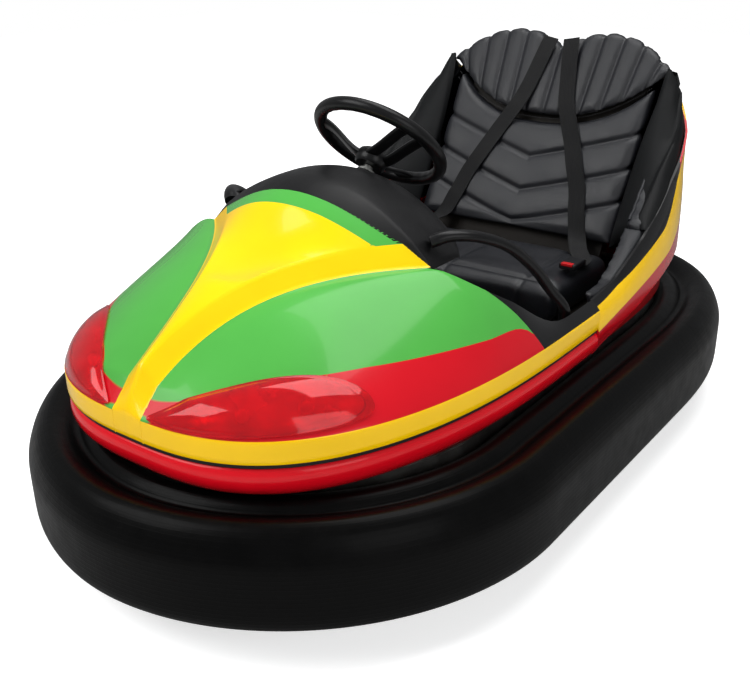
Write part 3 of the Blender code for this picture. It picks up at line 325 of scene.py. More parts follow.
# Plywood painted black behind the upholstery.
PAINTED_BOARD = Finish("painted_plywood", "#17130f", roughness=0.62, grain=5.0, bump=0.1)
# Soft rubber of the column's bellows and the pedal's tread.
SOFT_RUBBER = Finish("soft_black_rubber", "#151516", roughness=0.46, grain=2.0, bump=0.05)
# Polyester seat-belt webbing.
WEBBING = Finish("polyester_webbing", "#121214", roughness=0.6, sheen=0.3, grain=1.6, bump=0.10)

CAD_FINISHES: dict[str, Finish] = {
    "painted_shell": RED_GELCOAT,
    "red_moulding": RED_GELCOAT,
    "black_rubber": RING_RUBBER,
    "wheel_rubber": WHEEL_RUBBER,
    "frame_paint": FRAME_BLACK,
    "zinc_steel": ZINC,
    "motor_grey": MOTOR_GREY,
    "black_trim": BLACK_GLOSS,
    "black_leatherette": SEAT_VINYL,
    "seat_board": PAINTED_BOARD,
    "red_lens": RED_GELCOAT,
    "lamp_bowl": RED_GELCOAT,
    "belt_webbing": WEBBING,
}


# ---------------------------------------------------------------- meshes
def grid_faces(rows: int, columns: int, start: int = 0) -> list[tuple[int, int, int, int]]:
    """Faces of a grid of points laid out row by row, from the index start."""
    faces = []
    for i in range(rows - 1):
        for j in range(columns - 1):
            a = start + i * columns + j
            faces.append((a, a + 1, a + columns + 1, a + columns))
    return faces


def slab_data(outer: Grid, inner: Grid) -> tuple[Grid, list[tuple[int, ...]]]:
    """A closed wall between two grids of points of one shape.

    Args:
        outer: the outer face's points, rows by columns.
        inner: the inner face's.

    Returns:
        The points and the faces.
    """
    rows, columns = outer.shape[:2]
    back = rows * columns
    faces: list[tuple[int, ...]] = list(grid_faces(rows, columns))
    faces += [tuple(back + k for k in face[::-1]) for face in grid_faces(rows, columns)]
    edge = [i * columns for i in range(rows)]
    edge += [(rows - 1) * columns + j for j in range(1, columns)]
    edge += [i * columns + columns - 1 for i in range(rows - 2, -1, -1)]
    edge += list(range(columns - 2, 0, -1))
    for a, b in zip(edge, edge[1:] + edge[:1]):
        faces.append((a, b, back + b, back + a))
    return np.concatenate([outer.reshape(-1, 3), inner.reshape(-1, 3)]), faces


def ring_data(loops: Sequence[Grid], closed: bool = True) -> tuple[Grid, list[tuple[int, ...]]]:
    """Points and faces of a skin over closed loops of equal count; closed joins the last one to the first."""
    count, around = len(loops), len(loops[0])
    faces: list[tuple[int, ...]] = []
    for i in range(count if closed else count - 1):
        for j in range(around):
            k, nxt = (i + 1) % count, (j + 1) % around
            faces.append((i * around + j, i * around + nxt, k * around + nxt, k * around + j))
    return np.concatenate([np.asarray(loop) for loop in loops]), faces


def turned_data(profile: Sequence[tuple[float, float]], segments: int) -> tuple[
    Grid, list[tuple[int, ...]]
]:
    """A profile of (radius, height) turned about +Z; its first and last points lie on the axis, or meet."""
    turn = np.linspace(0.0, 2.0 * math.pi, segments, endpoint=False)
    loops = [
        np.column_stack([r * np.cos(turn), r * np.sin(turn), np.full(segments, z)]) for r, z in profile
    ]
    on_axis = profile[0][0] < 1e-9
    return ring_data(loops, closed=not on_axis)


def cleaned(work: bmesh.types.BMesh, merge: float = 1e-6) -> None:
    """Merges doubled points, drops collapsed faces and turns every face outwards."""
    bmesh.ops.remove_doubles(work, verts=work.verts, dist=merge)
    bmesh.ops.dissolve_degenerate(work, edges=work.edges, dist=merge)
    bmesh.ops.recalc_face_normals(work, faces=work.faces)


def run_along(path: Grid) -> Grid:
    """Distance along a path at each of its points."""
    return np.concatenate([[0.0], np.cumsum(np.linalg.norm(np.diff(path, axis=0), axis=1))])


@dataclass
class Piece:
    """One finished piece and what it stands for.

    Args:
        name: of the object.
        finish: its surface.
        slot: the record's material slot; not used.
        body: the moving body it rides on.
        replaces: the frame's nodes that it stands for.
        sharp: degrees past which an edge is drawn sharp.
    """

    name: str
    finish: Any
    slot: str
    body: str = BODY
    replaces: tuple[str, ...] = ()
    sharp: float = 38.0

    def link(self, mesh: bpy.types.Mesh) -> bpy.types.Object:
        """Puts the mesh in the scene as this piece's object, shaded and with its finish."""
        obj = bpy.data.objects.new(self.name, mesh)
        bpy.context.scene.collection.objects.link(obj)
        mesh.materials.clear()
        mesh.materials.append(self.finish.make())
        mesh.shade_smooth()
        mesh.set_sharp_from_angle(angle=math.radians(self.sharp))
        return obj

    def build(
        self, points: Any, faces: Sequence[Sequence[int]], fields: dict[str, Any] | None = None
    ) -> bpy.types.Object:
        """Makes the object from points and faces.

        Args:
            points: the vertices.
            faces: the faces.
            fields: values for each vertex, kept as attributes of the mesh for the paint.

        Returns:
            The object, not yet riding on its body.
        """
        mesh = bpy.data.meshes.new(self.name)
        mesh.from_pydata([tuple(map(float, p)) for p in points], [], [tuple(f) for f in faces])
        for label, values in (fields or {}).items():
            mesh.attributes.new(label, "FLOAT", "POINT").data.foreach_set(
                "value", np.asarray(values, np.float32)
            )
        work = bmesh.new()
        work.from_mesh(mesh)
        cleaned(work)
        work.to_mesh(mesh)
        work.free()
        return self.link(mesh)

    def place(self, obj: bpy.types.Object) -> bpy.types.Object:
        """Hangs the finished object on its body and hides the frame's nodes that it stands for."""
        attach(obj, self.body)
        if self.replaces:
            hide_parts(*self.replaces)
        LOG.info("%s: %d faces on %s", obj.name, len(obj.data.polygons), self.body)
        return obj


def settle(obj: bpy.types.Object) -> bpy.types.Object:
    """Turns an object's modifiers into plain mesh."""
    bpy.context.view_layer.update()
    graph = bpy.context.evaluated_depsgraph_get()
    made = bpy.data.meshes.new_from_object(obj.evaluated_get(graph), depsgraph=graph)
    made.name = obj.name
    old = obj.data
    obj.modifiers.clear()
    obj.data = made
    bpy.data.meshes.remove(old)
    return obj


def hidden_tool(name: str, points: Any, faces: Sequence[Sequence[int]]) -> bpy.types.Object:
    """A cutter for a Boolean, removed by cut()."""
    mesh = bpy.data.meshes.new(name)
    mesh.from_pydata([tuple(map(float, p)) for p in points], [], [tuple(f) for f in faces])
    work = bmesh.new()
    work.from_mesh(mesh)
    cleaned(work)
    if work.calc_volume(signed=True) < 0:
        bmesh.ops.reverse_faces(work, faces=work.faces)
    work.to_mesh(mesh)
    work.free()
    obj = bpy.data.objects.new(name, mesh)
    bpy.context.scene.collection.objects.link(obj)
    return obj


def cut(target: bpy.types.Object, cutters: Sequence[bpy.types.Object]) -> None:
    """Cuts the cutters out of the target, then removes them."""
    for cutter in cutters:
        change = target.modifiers.new("Cut", "BOOLEAN")
        change.object = cutter
        change.operation = "DIFFERENCE"
        change.solver = "EXACT"
    settle(target)
    for cutter in cutters:
        mesh = cutter.data
        bpy.data.objects.remove(cutter)
        bpy.data.meshes.remove(mesh)


def thicken(obj: bpy.types.Object, wall: float) -> None:
    """Gives an open skin whose faces point out its wall, inwards."""
    change = obj.modifiers.new("Wall", "SOLIDIFY")
    change.thickness = wall
    change.offset = -1.0
    change.use_even_offset = False
    settle(obj)


def smooth_step(share: Any) -> Any:
    """Eases from 0 to 1."""
    share = np.clip(share, 0.0, 1.0)
    return share * share * (3.0 - 2.0 * share)


def smooth_path(points: Sequence[Sequence[float]], count: int) -> Grid:
    """A smooth curve through a few points, evenly stepped."""
    pts = [np.array(p, float) for p in points]
    pts = [2 * pts[0] - pts[1]] + pts + [2 * pts[-1] - pts[-2]]
    spans = len(pts) - 3
    out = []
    for step in np.linspace(0.0, spans, count):
        k = min(int(step), spans - 1)
        t = step - k
        a, b, c, d = pts[k : k + 4]
        out.append(
            0.5
            * (2 * b + (c - a) * t + (2 * a - 5 * b + 4 * c - d) * t**2 + (3 * b - a - 3 * c + d) * t**3)
        )
    return np.array(out)


def tube_data(path: Grid, radii: Any, sides: int, flat: float = 1.0) -> tuple[Grid, list[tuple[int, ...]]]:
    """A closed bar of round or oval section along a path.

    Args:
        path: points of its middle line.
        radii: radius at each point, or one radius.
        sides: of the section.
        flat: height of the section over its width.

    Returns:
        The points and the faces.
    """
    radii = np.broadcast_to(np.asarray(radii, float), (len(path),))
    turn = np.linspace(0.0, 2.0 * math.pi, sides, endpoint=False)
    loops = []
    for k, point in enumerate(path):
        ahead = path[min(k + 1, len(path) - 1)] - path[max(k - 1, 0)]
        ahead = ahead / np.linalg.norm(ahead)
        side = np.cross(ahead, (0.0, 0.0, 1.0))
        side = side / np.linalg.norm(side) if np.linalg.norm(side) > 1e-6 else np.array([1.0, 0.0, 0.0])
        up = np.cross(side, ahead)
        loops.append(point + radii[k] * (np.outer(np.cos(turn), side) + flat * np.outer(np.sin(turn), up)))
    points, faces = ring_data(loops, closed=False)
    faces.append(tuple(range(sides))[::-1])
    faces.append(tuple(range(len(points) - sides, len(points))))
    return points, faces


# ---------------------------------------------------------------- the body's lines
@dataclass(frozen=True)
class BodyLines:
    """The moulded body's governing lines, in metres: the same as the frame's own."""

    nose_y: float = -0.866
    tail_y: float = 0.790
    half_width: float = 0.462
    widest_y: float = -0.020
    front_power: float = 2.75
    rear_power: float = 4.20
    wall: float = 0.006
    band_top: float = 0.405
    rim_inset: float = 0.022
    seam_y: float = 0.045
    spine_y: float = -0.863
    spine_half: float = 0.036
    arm_end: tuple[float, float] = (0.286, -0.351)
    cowl_y: float = -0.404
    lip_y: float = -0.434

    def outline(self, inset: float = 0.0) -> Grid:
        """The closed plan outline, dense, from the nose round by +X, moved in by inset."""
        angle = np.linspace(0.0, 2.0 * math.pi, 1440, endpoint=False)
        s, c = np.sin(angle), -np.cos(angle)
        power = np.where(c < 0, self.front_power, self.rear_power)
        reach = np.where(c < 0, self.widest_y - self.nose_y, self.tail_y - self.widest_y)
        x = self.half_width * np.sign(s) * np.abs(s) ** (2.0 / power)
        y = self.widest_y + reach * np.sign(c) * np.abs(c) ** (2.0 / power)
        loop = np.stack([x, y], axis=1)
        ahead = np.roll(loop, -1, axis=0) - np.roll(loop, 1, axis=0)
        inward = np.stack([-ahead[:, 1], ahead[:, 0]], axis=1)
        inward /= np.linalg.norm(inward, axis=1)[:, None] + 1e-12
        return loop + inward * inset

    def side_path(self, inset: float, count: int, behind: bool, start_y: float) -> Grid:
        """Plan points along the outline from +X at start_y to -X, round the nose, or behind round the tail."""
        dense = self.outline(inset)
        part = dense[dense[:, 1] >= start_y] if behind else dense[dense[:, 1] <= start_y]
        if not behind:
            part = np.roll(part, -int(np.argmax(np.linalg.norm(np.diff(part, axis=0), axis=1))) - 1, axis=0)
        run = run_along(part)
        want = np.linspace(0.0, run[-1], count)
        path = np.stack([np.interp(want, run, part[:, k]) for k in (0, 1)], axis=1)
        path[[0, -1], 1] = start_y
        return path

    def half_width_at(self, y: Any) -> Any:
        """Half width of the front outline at y."""
        share = np.clip(
            np.abs(np.minimum(y, self.widest_y) - self.widest_y) / (self.widest_y - self.nose_y), 0, 1
        )
        return self.half_width * (1.0 - share**self.front_power) ** (1.0 / self.front_power)

    def arm_run(self, y: Any) -> Any:
        """How far along the spine and arms, from 0 at the nose to 1 at the arm's end."""
        return np.clip((y - self.spine_y) / (self.arm_end[1] - self.spine_y), 0.0, 1.0)

    def foot_x(self, y: Any) -> Any:
        """Where the spine and arms meet the fenders, in plan."""
        return self.spine_half + (self.arm_end[0] - self.spine_half) * self.arm_run(y) ** 2.25

    def foot_z(self, y: Any) -> Any:
        """Height of that line."""
        return 0.583 - 0.156 * (1.0 - self.arm_run(y)) ** 2.3 - 0.105 * smooth_step((y + 0.260) / 0.170)

    def face(self, y: Any) -> Any:
        """Width and height of the sloping face above it."""
        return 0.040 * (0.70 + 0.30 * self.arm_run(y))

    def centre_z(self, y: Any) -> Any:
        """Height along the middle: spine, dish, lip, cowl and the slope behind it."""
        crest = self.foot_z(y) + self.face(y) + 0.004
        dish = 0.582 + 0.100 * np.clip((y + 0.615) / 0.182, 0.0, 1.0) ** 2.2
        lip_to_crest = 0.682 + 0.041 * (1.0 - np.clip((-0.290 - y) / 0.143, 0.0, 1.0) ** 2.6)
        fall = np.clip((y + 0.290) / 0.125, 0.0, 1.6)
        cowl = 0.723 - 0.040 * fall**2
        blend = smooth_step((y + 0.660) / 0.060)
        front = crest * (1 - blend) + np.minimum(dish, crest + 0.2) * blend
        return np.where(y < -0.433, front, np.where(y < -0.290, lip_to_crest, cowl))

    def hood_z(self, x: Any, y: Any) -> Any:
        """Height of the hood and cowl over a plan point."""
        across = np.abs(x)
        foot_x, foot_z, face = self.foot_x(y), self.foot_z(y), self.face(y)
        crease_x = np.maximum(foot_x - face, 0.004)
        crease_z = foot_z + face
        share = np.clip(across / crease_x, 0.0, 1.0)
        inside = crease_z + (self.centre_z(y) - crease_z) * (1.0 - share**2)
        on_face = crease_z - (across - crease_x) / np.maximum(foot_x - crease_x, 1e-6) * face
        edge = np.maximum(self.half_width_at(y), foot_x + 0.001)
        out = np.clip((across - foot_x) / (edge - foot_x), 0.0, 1.0)
        fender = self.band_top + (foot_z - self.band_top) * (1.0 - out**2.0) ** 0.85
        height = np.where(across < crease_x, inside, np.where(across < foot_x, on_face, fender))
        tip = np.clip((y - self.nose_y) / 0.045, 0.0, 1.0) ** 0.5
        near = np.clip((self.half_width_at(y) - across) / 0.05, 0.0, 1.0) ** 0.5
        return self.band_top + (height - self.band_top) * np.minimum(
            tip, np.where(across < foot_x, near, 1.0)
        )

    def cowl_line(self, across: Any) -> Any:
        """y of the line where the painted hood ends and the black cowl starts."""
        share = np.clip(across / self.arm_end[0], 0.0, 1.0)
        return self.cowl_y + (self.arm_end[1] - self.cowl_y) * share**2

    def side_line(self, run: Any) -> Grid:
        """Plan points of the cockpit's rim from the arm's end back to the seam."""
        turn = np.clip(run / 0.60, 0.0, 1.0) * math.pi / 2
        x = self.arm_end[0] + (self.half_width - self.rim_inset - self.arm_end[0]) * np.sin(turn)
        y = self.arm_end[1] + (-0.060 - self.arm_end[1]) * (1.0 - np.cos(turn))
        back = np.clip((run - 0.60) / 0.40, 0.0, 1.0)
        return np.stack([x, y + (self.seam_y - 0.0003 + 0.060) * back], axis=-1)

    def hood_point(self, step: Any, share: Any) -> Grid:
        """Point of the hood's +X half by the frame's own rows.

        Args:
            step: from the nose, 0, back to the seam, 1.
            share: from the band's top edge, 0, up to the middle line, 1.

        Returns:
            The points.
        """
        side = self.half_outline()
        run = run_along(side)
        run /= run[-1]
        foot = np.stack([np.interp(step, run, side[:, k]) for k in (0, 1)], axis=-1)
        nose_top = self.nose_y + 0.030
        top_y = nose_top + (-0.416 - nose_top) * np.clip(np.asarray(step) / 0.40, 0.0, 1.1) ** 0.9
        top = np.stack([np.zeros_like(top_y), top_y], axis=-1)
        plan = foot + (top - foot) * np.asarray(share)[..., None]
        z = np.maximum(self.hood_z(plan[..., 0], plan[..., 1]), self.band_top)
        return np.concatenate([plan, z[..., None]], axis=-1)

    def half_outline(self) -> Grid:
        """The outline's +X half from the nose back to the seam."""
        dense = self.outline()
        side = dense[(dense[:, 0] >= -1e-9) & (dense[:, 1] <= self.seam_y - 0.0003)]
        return side[np.argsort(side[:, 1])]

    def lip_z(self, y: Any) -> Any:
        """Height of the rear shell's lower lip."""
        return 0.300 + 0.120 * np.clip((y - self.seam_y) / 0.70, 0.0, 1.0) ** 0.8

    def shell_rim_z(self, x: Any, y: Any) -> Any:
        """Height of the rear shell's rim: low beside the door, high behind the seat."""
        ys = (0.045, 0.160, 0.300, 0.400, 0.500, 0.600, 0.680, 0.760)
        zs = (0.424, 0.437, 0.487, 0.528, 0.575, 0.640, 0.725, 0.800)
        side = np.interp(y, ys, zs)
        behind = 0.850 - 0.050 * np.clip(np.abs(x) / 0.360, 0.0, 1.0) ** 3
        rise = smooth_step((np.asarray(y) - 0.725) / 0.045)
        return side * (1 - rise) + np.maximum(behind, side) * rise

    def shell_lean(self, share: Any, z: Any) -> Any:
        """How far the rear shell's outer face is in from the outline, a share of the way from lip to rim."""
        inset = 0.012 * np.clip((0.345 - z) / 0.045, 0, 1) + 0.040 * np.clip(
            (z - 0.620) / 0.280, 0.0, 1.0
        ) ** 1.5
        return inset + self.rim_inset * share**4 * np.clip((0.680 - z) / 0.100, 0.0, 1.0)


LINES = BodyLines()


def moved_in(path: Grid, inset: Any) -> Grid:
    """An open plan path moved to its left by inset, square to it; its ends stay at their y."""
    ahead = np.gradient(path, axis=0)
    inward = np.stack([-ahead[:, 1], ahead[:, 0]], axis=1)
    inward /= np.linalg.norm(inward, axis=1)[:, None]
    moved = path + inward * np.broadcast_to(np.asarray(inset, float), (len(path),))[:, None]
    moved[[0, -1], 1] = path[[0, -1], 1]
    return moved


# ---------------------------------------------------------------- paint
@dataclass(frozen=True)
class Livery:
    """Gel-coated glass fibre in four colours, masked and sprayed: crisp edges under one glossy clear skin.

    Args:
        name: of the material.
        green: sRGB hex of the fenders.
        yellow: of the arms and the band.
        red: of the lower fenders.
        black: of the strip beside the cockpit.
    """

    name: str = "four_colour_gelcoat"
    green: str = "#4ba443"
    yellow: str = "#fdcb00"
    red: str = "#c60a1b"
    black: str = "#0a0a0b"

    def make(self) -> bpy.types.Material:
        """Makes the material: each colour is laid where its field on the mesh is above zero."""
        known = bpy.data.materials.get(self.name)
        if known is not None:
            return known
        made = bpy.data.materials.new(self.name)
        made.use_nodes = True
        tree = made.node_tree
        shader = tree.nodes["Principled BSDF"]
        shader.inputs["Coat Weight"].default_value = 0.45
        shader.inputs["Coat Roughness"].default_value = 0.05
        shader.inputs["Specular IOR Level"].default_value = 0.30
        place = add_node(tree, "ShaderNodeTexCoord")
        cloud = noise_node(tree, place.outputs["Object"], 6.0, 4.0)
        colour = linear(self.green)
        socket = None
        for field_name, hex_value in (
            ("arm", self.yellow), ("red", self.red), ("black", self.black), ("band", self.yellow)
        ):
            read = add_node(tree, "ShaderNodeAttribute", {"attribute_name": field_name})
            edge = remap_node(tree, read.outputs["Fac"], -0.0010, -0.0002)
            mixed = add_node(tree, "ShaderNodeMix", {"data_type": "RGBA"}, {0: edge.outputs["Result"]})
            if socket is None:
                mixed.inputs[6].default_value = colour
            else:
                tree.links.new(socket, mixed.inputs[6])
            mixed.inputs[7].default_value = linear(hex_value)
            socket = mixed.outputs[2]
        value = remap_node(tree, cloud.outputs["Fac"], 0.3, 0.7, 0.95, 1.04)
        shade = add_node(
            tree, "ShaderNodeHueSaturation", {}, {"Color": socket, "Value": value.outputs["Result"]}
        )
        tree.links.new(shade.outputs["Color"], shader.inputs["Base Color"])
        rough = remap_node(tree, cloud.outputs["Fac"], 0.35, 0.7, 0.18, 0.26)
        tree.links.new(rough.outputs["Result"], shader.inputs["Roughness"])
        # Glass fibre shows a faint long wave through the gel coat.
        wave = noise_node(tree, place.outputs["Object"], 22.0, 2.0)
        bump = add_node(
            tree, "ShaderNodeBump", {"Strength": 0.35, "Distance": 0.0004}, {"Height": wave.outputs["Fac"]}
        )
        tree.links.new(bump.outputs["Normal"], shader.inputs["Normal"])
        return made


class Zone(Enum):
    """Which part of the front moulding a point lies on."""

    FENDER = 0
    FACE = 1
    DISH = 2


@dataclass
class FrontBody:
    """The painted front moulding: hood, fenders, arms and the yellow band.

    Args:
        rows: along the fender, from the nose to the arm's end.
        rear_rows: from there back to the seam.
        fender: columns from the outline up to the arm.
        dish: columns from the arm's crest to the middle.
    """

    rows: int = 76
    rear_rows: int = 30
    fender: int = 40
    dish: int = 26
    piece: Piece = field(
        default_factory=lambda: Piece(
            "front_body_paint", Livery(), "painted_shell", replaces=("front_body",), sharp=60.0
        )
    )

    def fender_rows(self) -> tuple[Grid, Grid]:
        """Plan points at the outer end and the inner end of every fender row."""
        side = LINES.half_outline()
        start = int(np.argmax(side[:, 0] >= LINES.spine_half))
        first = side[start]
        side = side[start:]
        run = run_along(side)
        run /= run[-1]
        ahead = np.linspace(0.0, 1.0, self.rows) ** 1.45
        behind = np.linspace(0.0, 1.0, self.rear_rows + 1)[1:]
        y = first[1] + (LINES.arm_end[1] - first[1]) * ahead
        inner = np.concatenate([np.stack([LINES.foot_x(y), y], axis=1), LINES.side_line(behind)])
        steps = np.concatenate([0.59 * ahead, 0.59 + 0.41 * behind])
        outer = np.stack([np.interp(steps, run, side[:, k]) for k in (0, 1)], axis=1)
        return outer, inner

    def surface(self) -> tuple[Grid, list[tuple[int, ...]], dict[str, Grid]]:
        """The +X half of the outer skin.

        Returns:
            The points, the faces and the paint fields of each point.
        """
        outer, inner = self.fender_rows()
        shares = np.linspace(0.0, 1.0, self.fender) ** 1.7
        plan = outer[:, None] + (inner - outer)[:, None] * shares[None, :, None]
        z = np.maximum(LINES.hood_z(plan[..., 0], plan[..., 1]), LINES.band_top)
        fender = np.concatenate([plan, z[..., None]], axis=2)
        drop = (
            (0.0, 0.362, 0.0022),
            (0.0, 0.3655, 0.0004),
            (0.0, 0.374, 0.0),
            (0.0, 0.386, 0.0),
            (0.0, 0.397, 0.0),
        )
        band = []
        for _, height, inset in drop:
            loop = moved_in(outer, inset)
            band.append(np.column_stack([loop, np.full(len(loop), height)]))
        side = np.concatenate([np.array(band).transpose(1, 0, 2), fender], axis=1)

        foot = inner[: self.rows]
        along = np.linspace(0.0, 1.0, self.rows)
        slip = (LINES.arm_end[1] - float(LINES.cowl_line(0.246))) * LINES.arm_run(foot[:, 1]) ** 2
        crest_y = foot[:, 1] - slip
        crest = np.stack([np.maximum(LINES.foot_x(crest_y) - LINES.face(crest_y), 0.004), crest_y], axis=1)
        face_plan = foot[:, None] + (crest - foot)[:, None] * np.linspace(0.0, 1.0, 7)[None, :, None]
        middle_y = LINES.nose_y + (LINES.cowl_y - LINES.nose_y) * along**1.45
        u = np.linspace(1.0, 0.0, self.dish)
        dish_y = middle_y[:, None] + (crest_y - middle_y)[:, None] * u[None] ** 2
        dish_plan = np.stack([crest[:, :1] * u[None], dish_y], axis=2)

        points, faces = [side.reshape(-1, 3)], list(grid_faces(*side.shape[:2]))
        zone = [np.full(side[..., 0].size, Zone.FENDER.value)]
        nose = np.concatenate([face_plan[0], dish_plan[0][1:]])
        front = np.array(
            [
                np.column_stack([nose + (0.0, inset), np.full(len(nose), height)])
                for _, height, inset in drop
            ]
            + [np.column_stack([nose, np.full(len(nose), LINES.band_top)])]
        )
        faces += grid_faces(*front.shape[:2], len(points[0]))
        points.append(front.reshape(-1, 3))
        zone.append(np.full(front[..., 0].size, Zone.FACE.value))
        for kind, grid in ((Zone.FACE, face_plan), (Zone.DISH, dish_plan)):
            height = LINES.hood_z(grid[..., 0] * 0.99999, grid[..., 1])
            height[0] = LINES.band_top
            start = sum(len(p) for p in points)
            points.append(np.concatenate([grid, height[..., None]], axis=2).reshape(-1, 3))
            faces += grid_faces(*grid.shape[:2], start)
            zone.append(np.full(grid[..., 0].size, kind.value))
        every = np.concatenate(points)
        return every, faces, self.fields(every, np.concatenate(zone))

    def fields(self, points: Grid, zone: Grid) -> dict[str, Grid]:
        """The signed distance of each point into each colour's area.

        Args:
            points: of the skin.
            zone: the value of the Zone each point lies on.

        Returns:
            The named fields.
        """
        x, y, z = np.abs(points[:, 0]), points[:, 1], points[:, 2]
        foot = LINES.foot_x(y)
        crease = np.maximum(foot - LINES.face(y), 0.004)
        lip = LINES.lip_y + 0.80 * x**2 - y
        dish = np.sign(lip) * np.minimum(np.abs(lip), np.maximum(crease - x, 0.0))
        arm = np.where(
            zone == Zone.FENDER.value,
            np.minimum(foot - x, 0.0),
            np.clip(np.minimum(foot - x, x - crease), 0.0, 1.0),
        )
        arm = np.where(zone == Zone.DISH.value, dish, arm)
        red_z = (
            LINES.band_top
            + 0.075 * (1.0 - np.exp(-18.5 * (y - LINES.nose_y)))
            - 0.040 * np.maximum(y + 0.60, 0.0)
            - 0.058 * np.clip((y + 0.33) / 0.13, 0.0, 2.0) ** 4
        )
        red = np.where(zone == Zone.FENDER.value, red_z - z, -0.05)
        edge_y = LINES.arm_end[1] - 0.005 + 0.150 * np.clip((x - LINES.arm_end[0]) / 0.174, 0.0, 1.0) ** 1.4
        black = np.where(zone == Zone.FENDER.value, y - edge_y, -0.05)
        return {"arm": arm, "red": red, "black": black, "band": LINES.band_top + 0.0012 - z}

    def blacken_inside(self, mesh: bpy.types.Mesh, shown: int) -> None:
        """Leaves the moulding's inner face black, from the vertex numbered shown on."""
        for label, value in (("black", 0.05), ("band", -0.05)):
            values = np.zeros(len(mesh.vertices), np.float32)
            mesh.attributes[label].data.foreach_get("value", values)
            values[shown:] = value
            mesh.attributes[label].data.foreach_set("value", values)

    def build(self) -> None:
        """Makes the moulding: the skin, its mirror image, its wall and the lamps' openings."""
        points, faces, fields = self.surface()
        mesh = bpy.data.meshes.new(self.piece.name)
        mesh.from_pydata([tuple(map(float, p)) for p in points], [], [tuple(f) for f in faces])
        for label, values in fields.items():
            mesh.attributes.new(label, "FLOAT", "POINT").data.foreach_set(
                "value", np.asarray(values, np.float32)
            )
        work = bmesh.new()
        work.from_mesh(mesh)
        bmesh.ops.mirror(
            work, geom=work.verts[:] + work.edges[:] + work.faces[:], axis="X", merge_dist=1e-5
        )
        cleaned(work, 2e-5)
        top = max(work.faces, key=lambda face: face.calc_center_median().z)
        if top.normal.z < 0:
            bmesh.ops.reverse_faces(work, faces=work.faces)
        work.to_mesh(mesh)
        work.free()
        obj = self.piece.link(mesh)
        shown = len(obj.data.vertices)
        thicken(obj, 0.0045)
        self.blacken_inside(obj.data, shown)
        lamps = Lamps()
        cut(
            obj,
            [hidden_tool(f"lamp_opening_{side}", *lamps.patch(side, 0.94, 0.03, -0.03)) for side in (1, -1)],
        )
        obj.data.set_sharp_from_angle(angle=math.radians(self.piece.sharp))
        self.piece.place(obj)


@dataclass
class RearBody:
    """The painted rear moulding round the seat, with its rolled rim and turned-in lower lip."""

    count: int = 181
    levels: int = 34
    piece: Piece = field(
        default_factory=lambda: Piece(
            "rear_body_paint", Livery(), "painted_shell", replaces=("rear_body",), sharp=50.0
        )
    )

    def build(self) -> None:
        """Makes the moulding as a closed wall and paints its stripes."""
        path = LINES.side_path(0.0, self.count, True, LINES.seam_y + 0.0003)
        rim = LINES.shell_rim_z(path[:, 0], path[:, 1])
        lip = LINES.lip_z(path[:, 1])
        grids = []
        for move in (0.0, LINES.wall):
            low = lip + move * 0.75
            columns = [np.column_stack([moved_in(path, 0.046), low])]
            columns.append(np.column_stack([moved_in(path, 0.022 + move), low]))
            for share in np.linspace(0.0, 1.0, self.levels):
                z = low * (1 - share) + rim * share
                lean = LINES.shell_lean(share, z) + move
                columns.append(np.column_stack([moved_in(path, lean), z]))
            grids.append(np.array(columns).transpose(1, 0, 2))
        points, faces = slab_data(*grids)
        paint = self.fields(points)
        inside = np.arange(len(points)) >= len(points) // 2
        paint["band"] = np.where(inside, -0.01, paint["band"])
        paint["black"] = np.where(inside, 0.01, paint["black"])
        self.piece.place(self.piece.build(points, faces, paint))

    def fields(self, points: Grid) -> dict[str, Grid]:
        """The stripes: yellow rising to the rear corners, red below it, black and then red above it."""
        x, y, z = np.abs(points[:, 0]), points[:, 1], points[:, 2]
        run = y + 2.0 * np.clip(0.40 - x, 0.0, 1.0) * smooth_step((y - 0.60) / 0.10)
        up = np.maximum(run - 0.02, 0.0)
        high = 0.4062 + 0.30 * up**1.4 + 0.8 * np.maximum(up - 0.40, 0.0) ** 1.3
        down = np.maximum(run - 0.05, 0.0)
        low = 0.356 + 0.16 * down + 0.6 * np.maximum(down - 0.42, 0.0) ** 1.3
        band = np.minimum(high - z, z - low)
        everywhere = np.ones(len(z))
        return {
            "arm": -everywhere, "red": everywhere, "black": np.minimum(0.565 - run, z - high), "band": band
        }


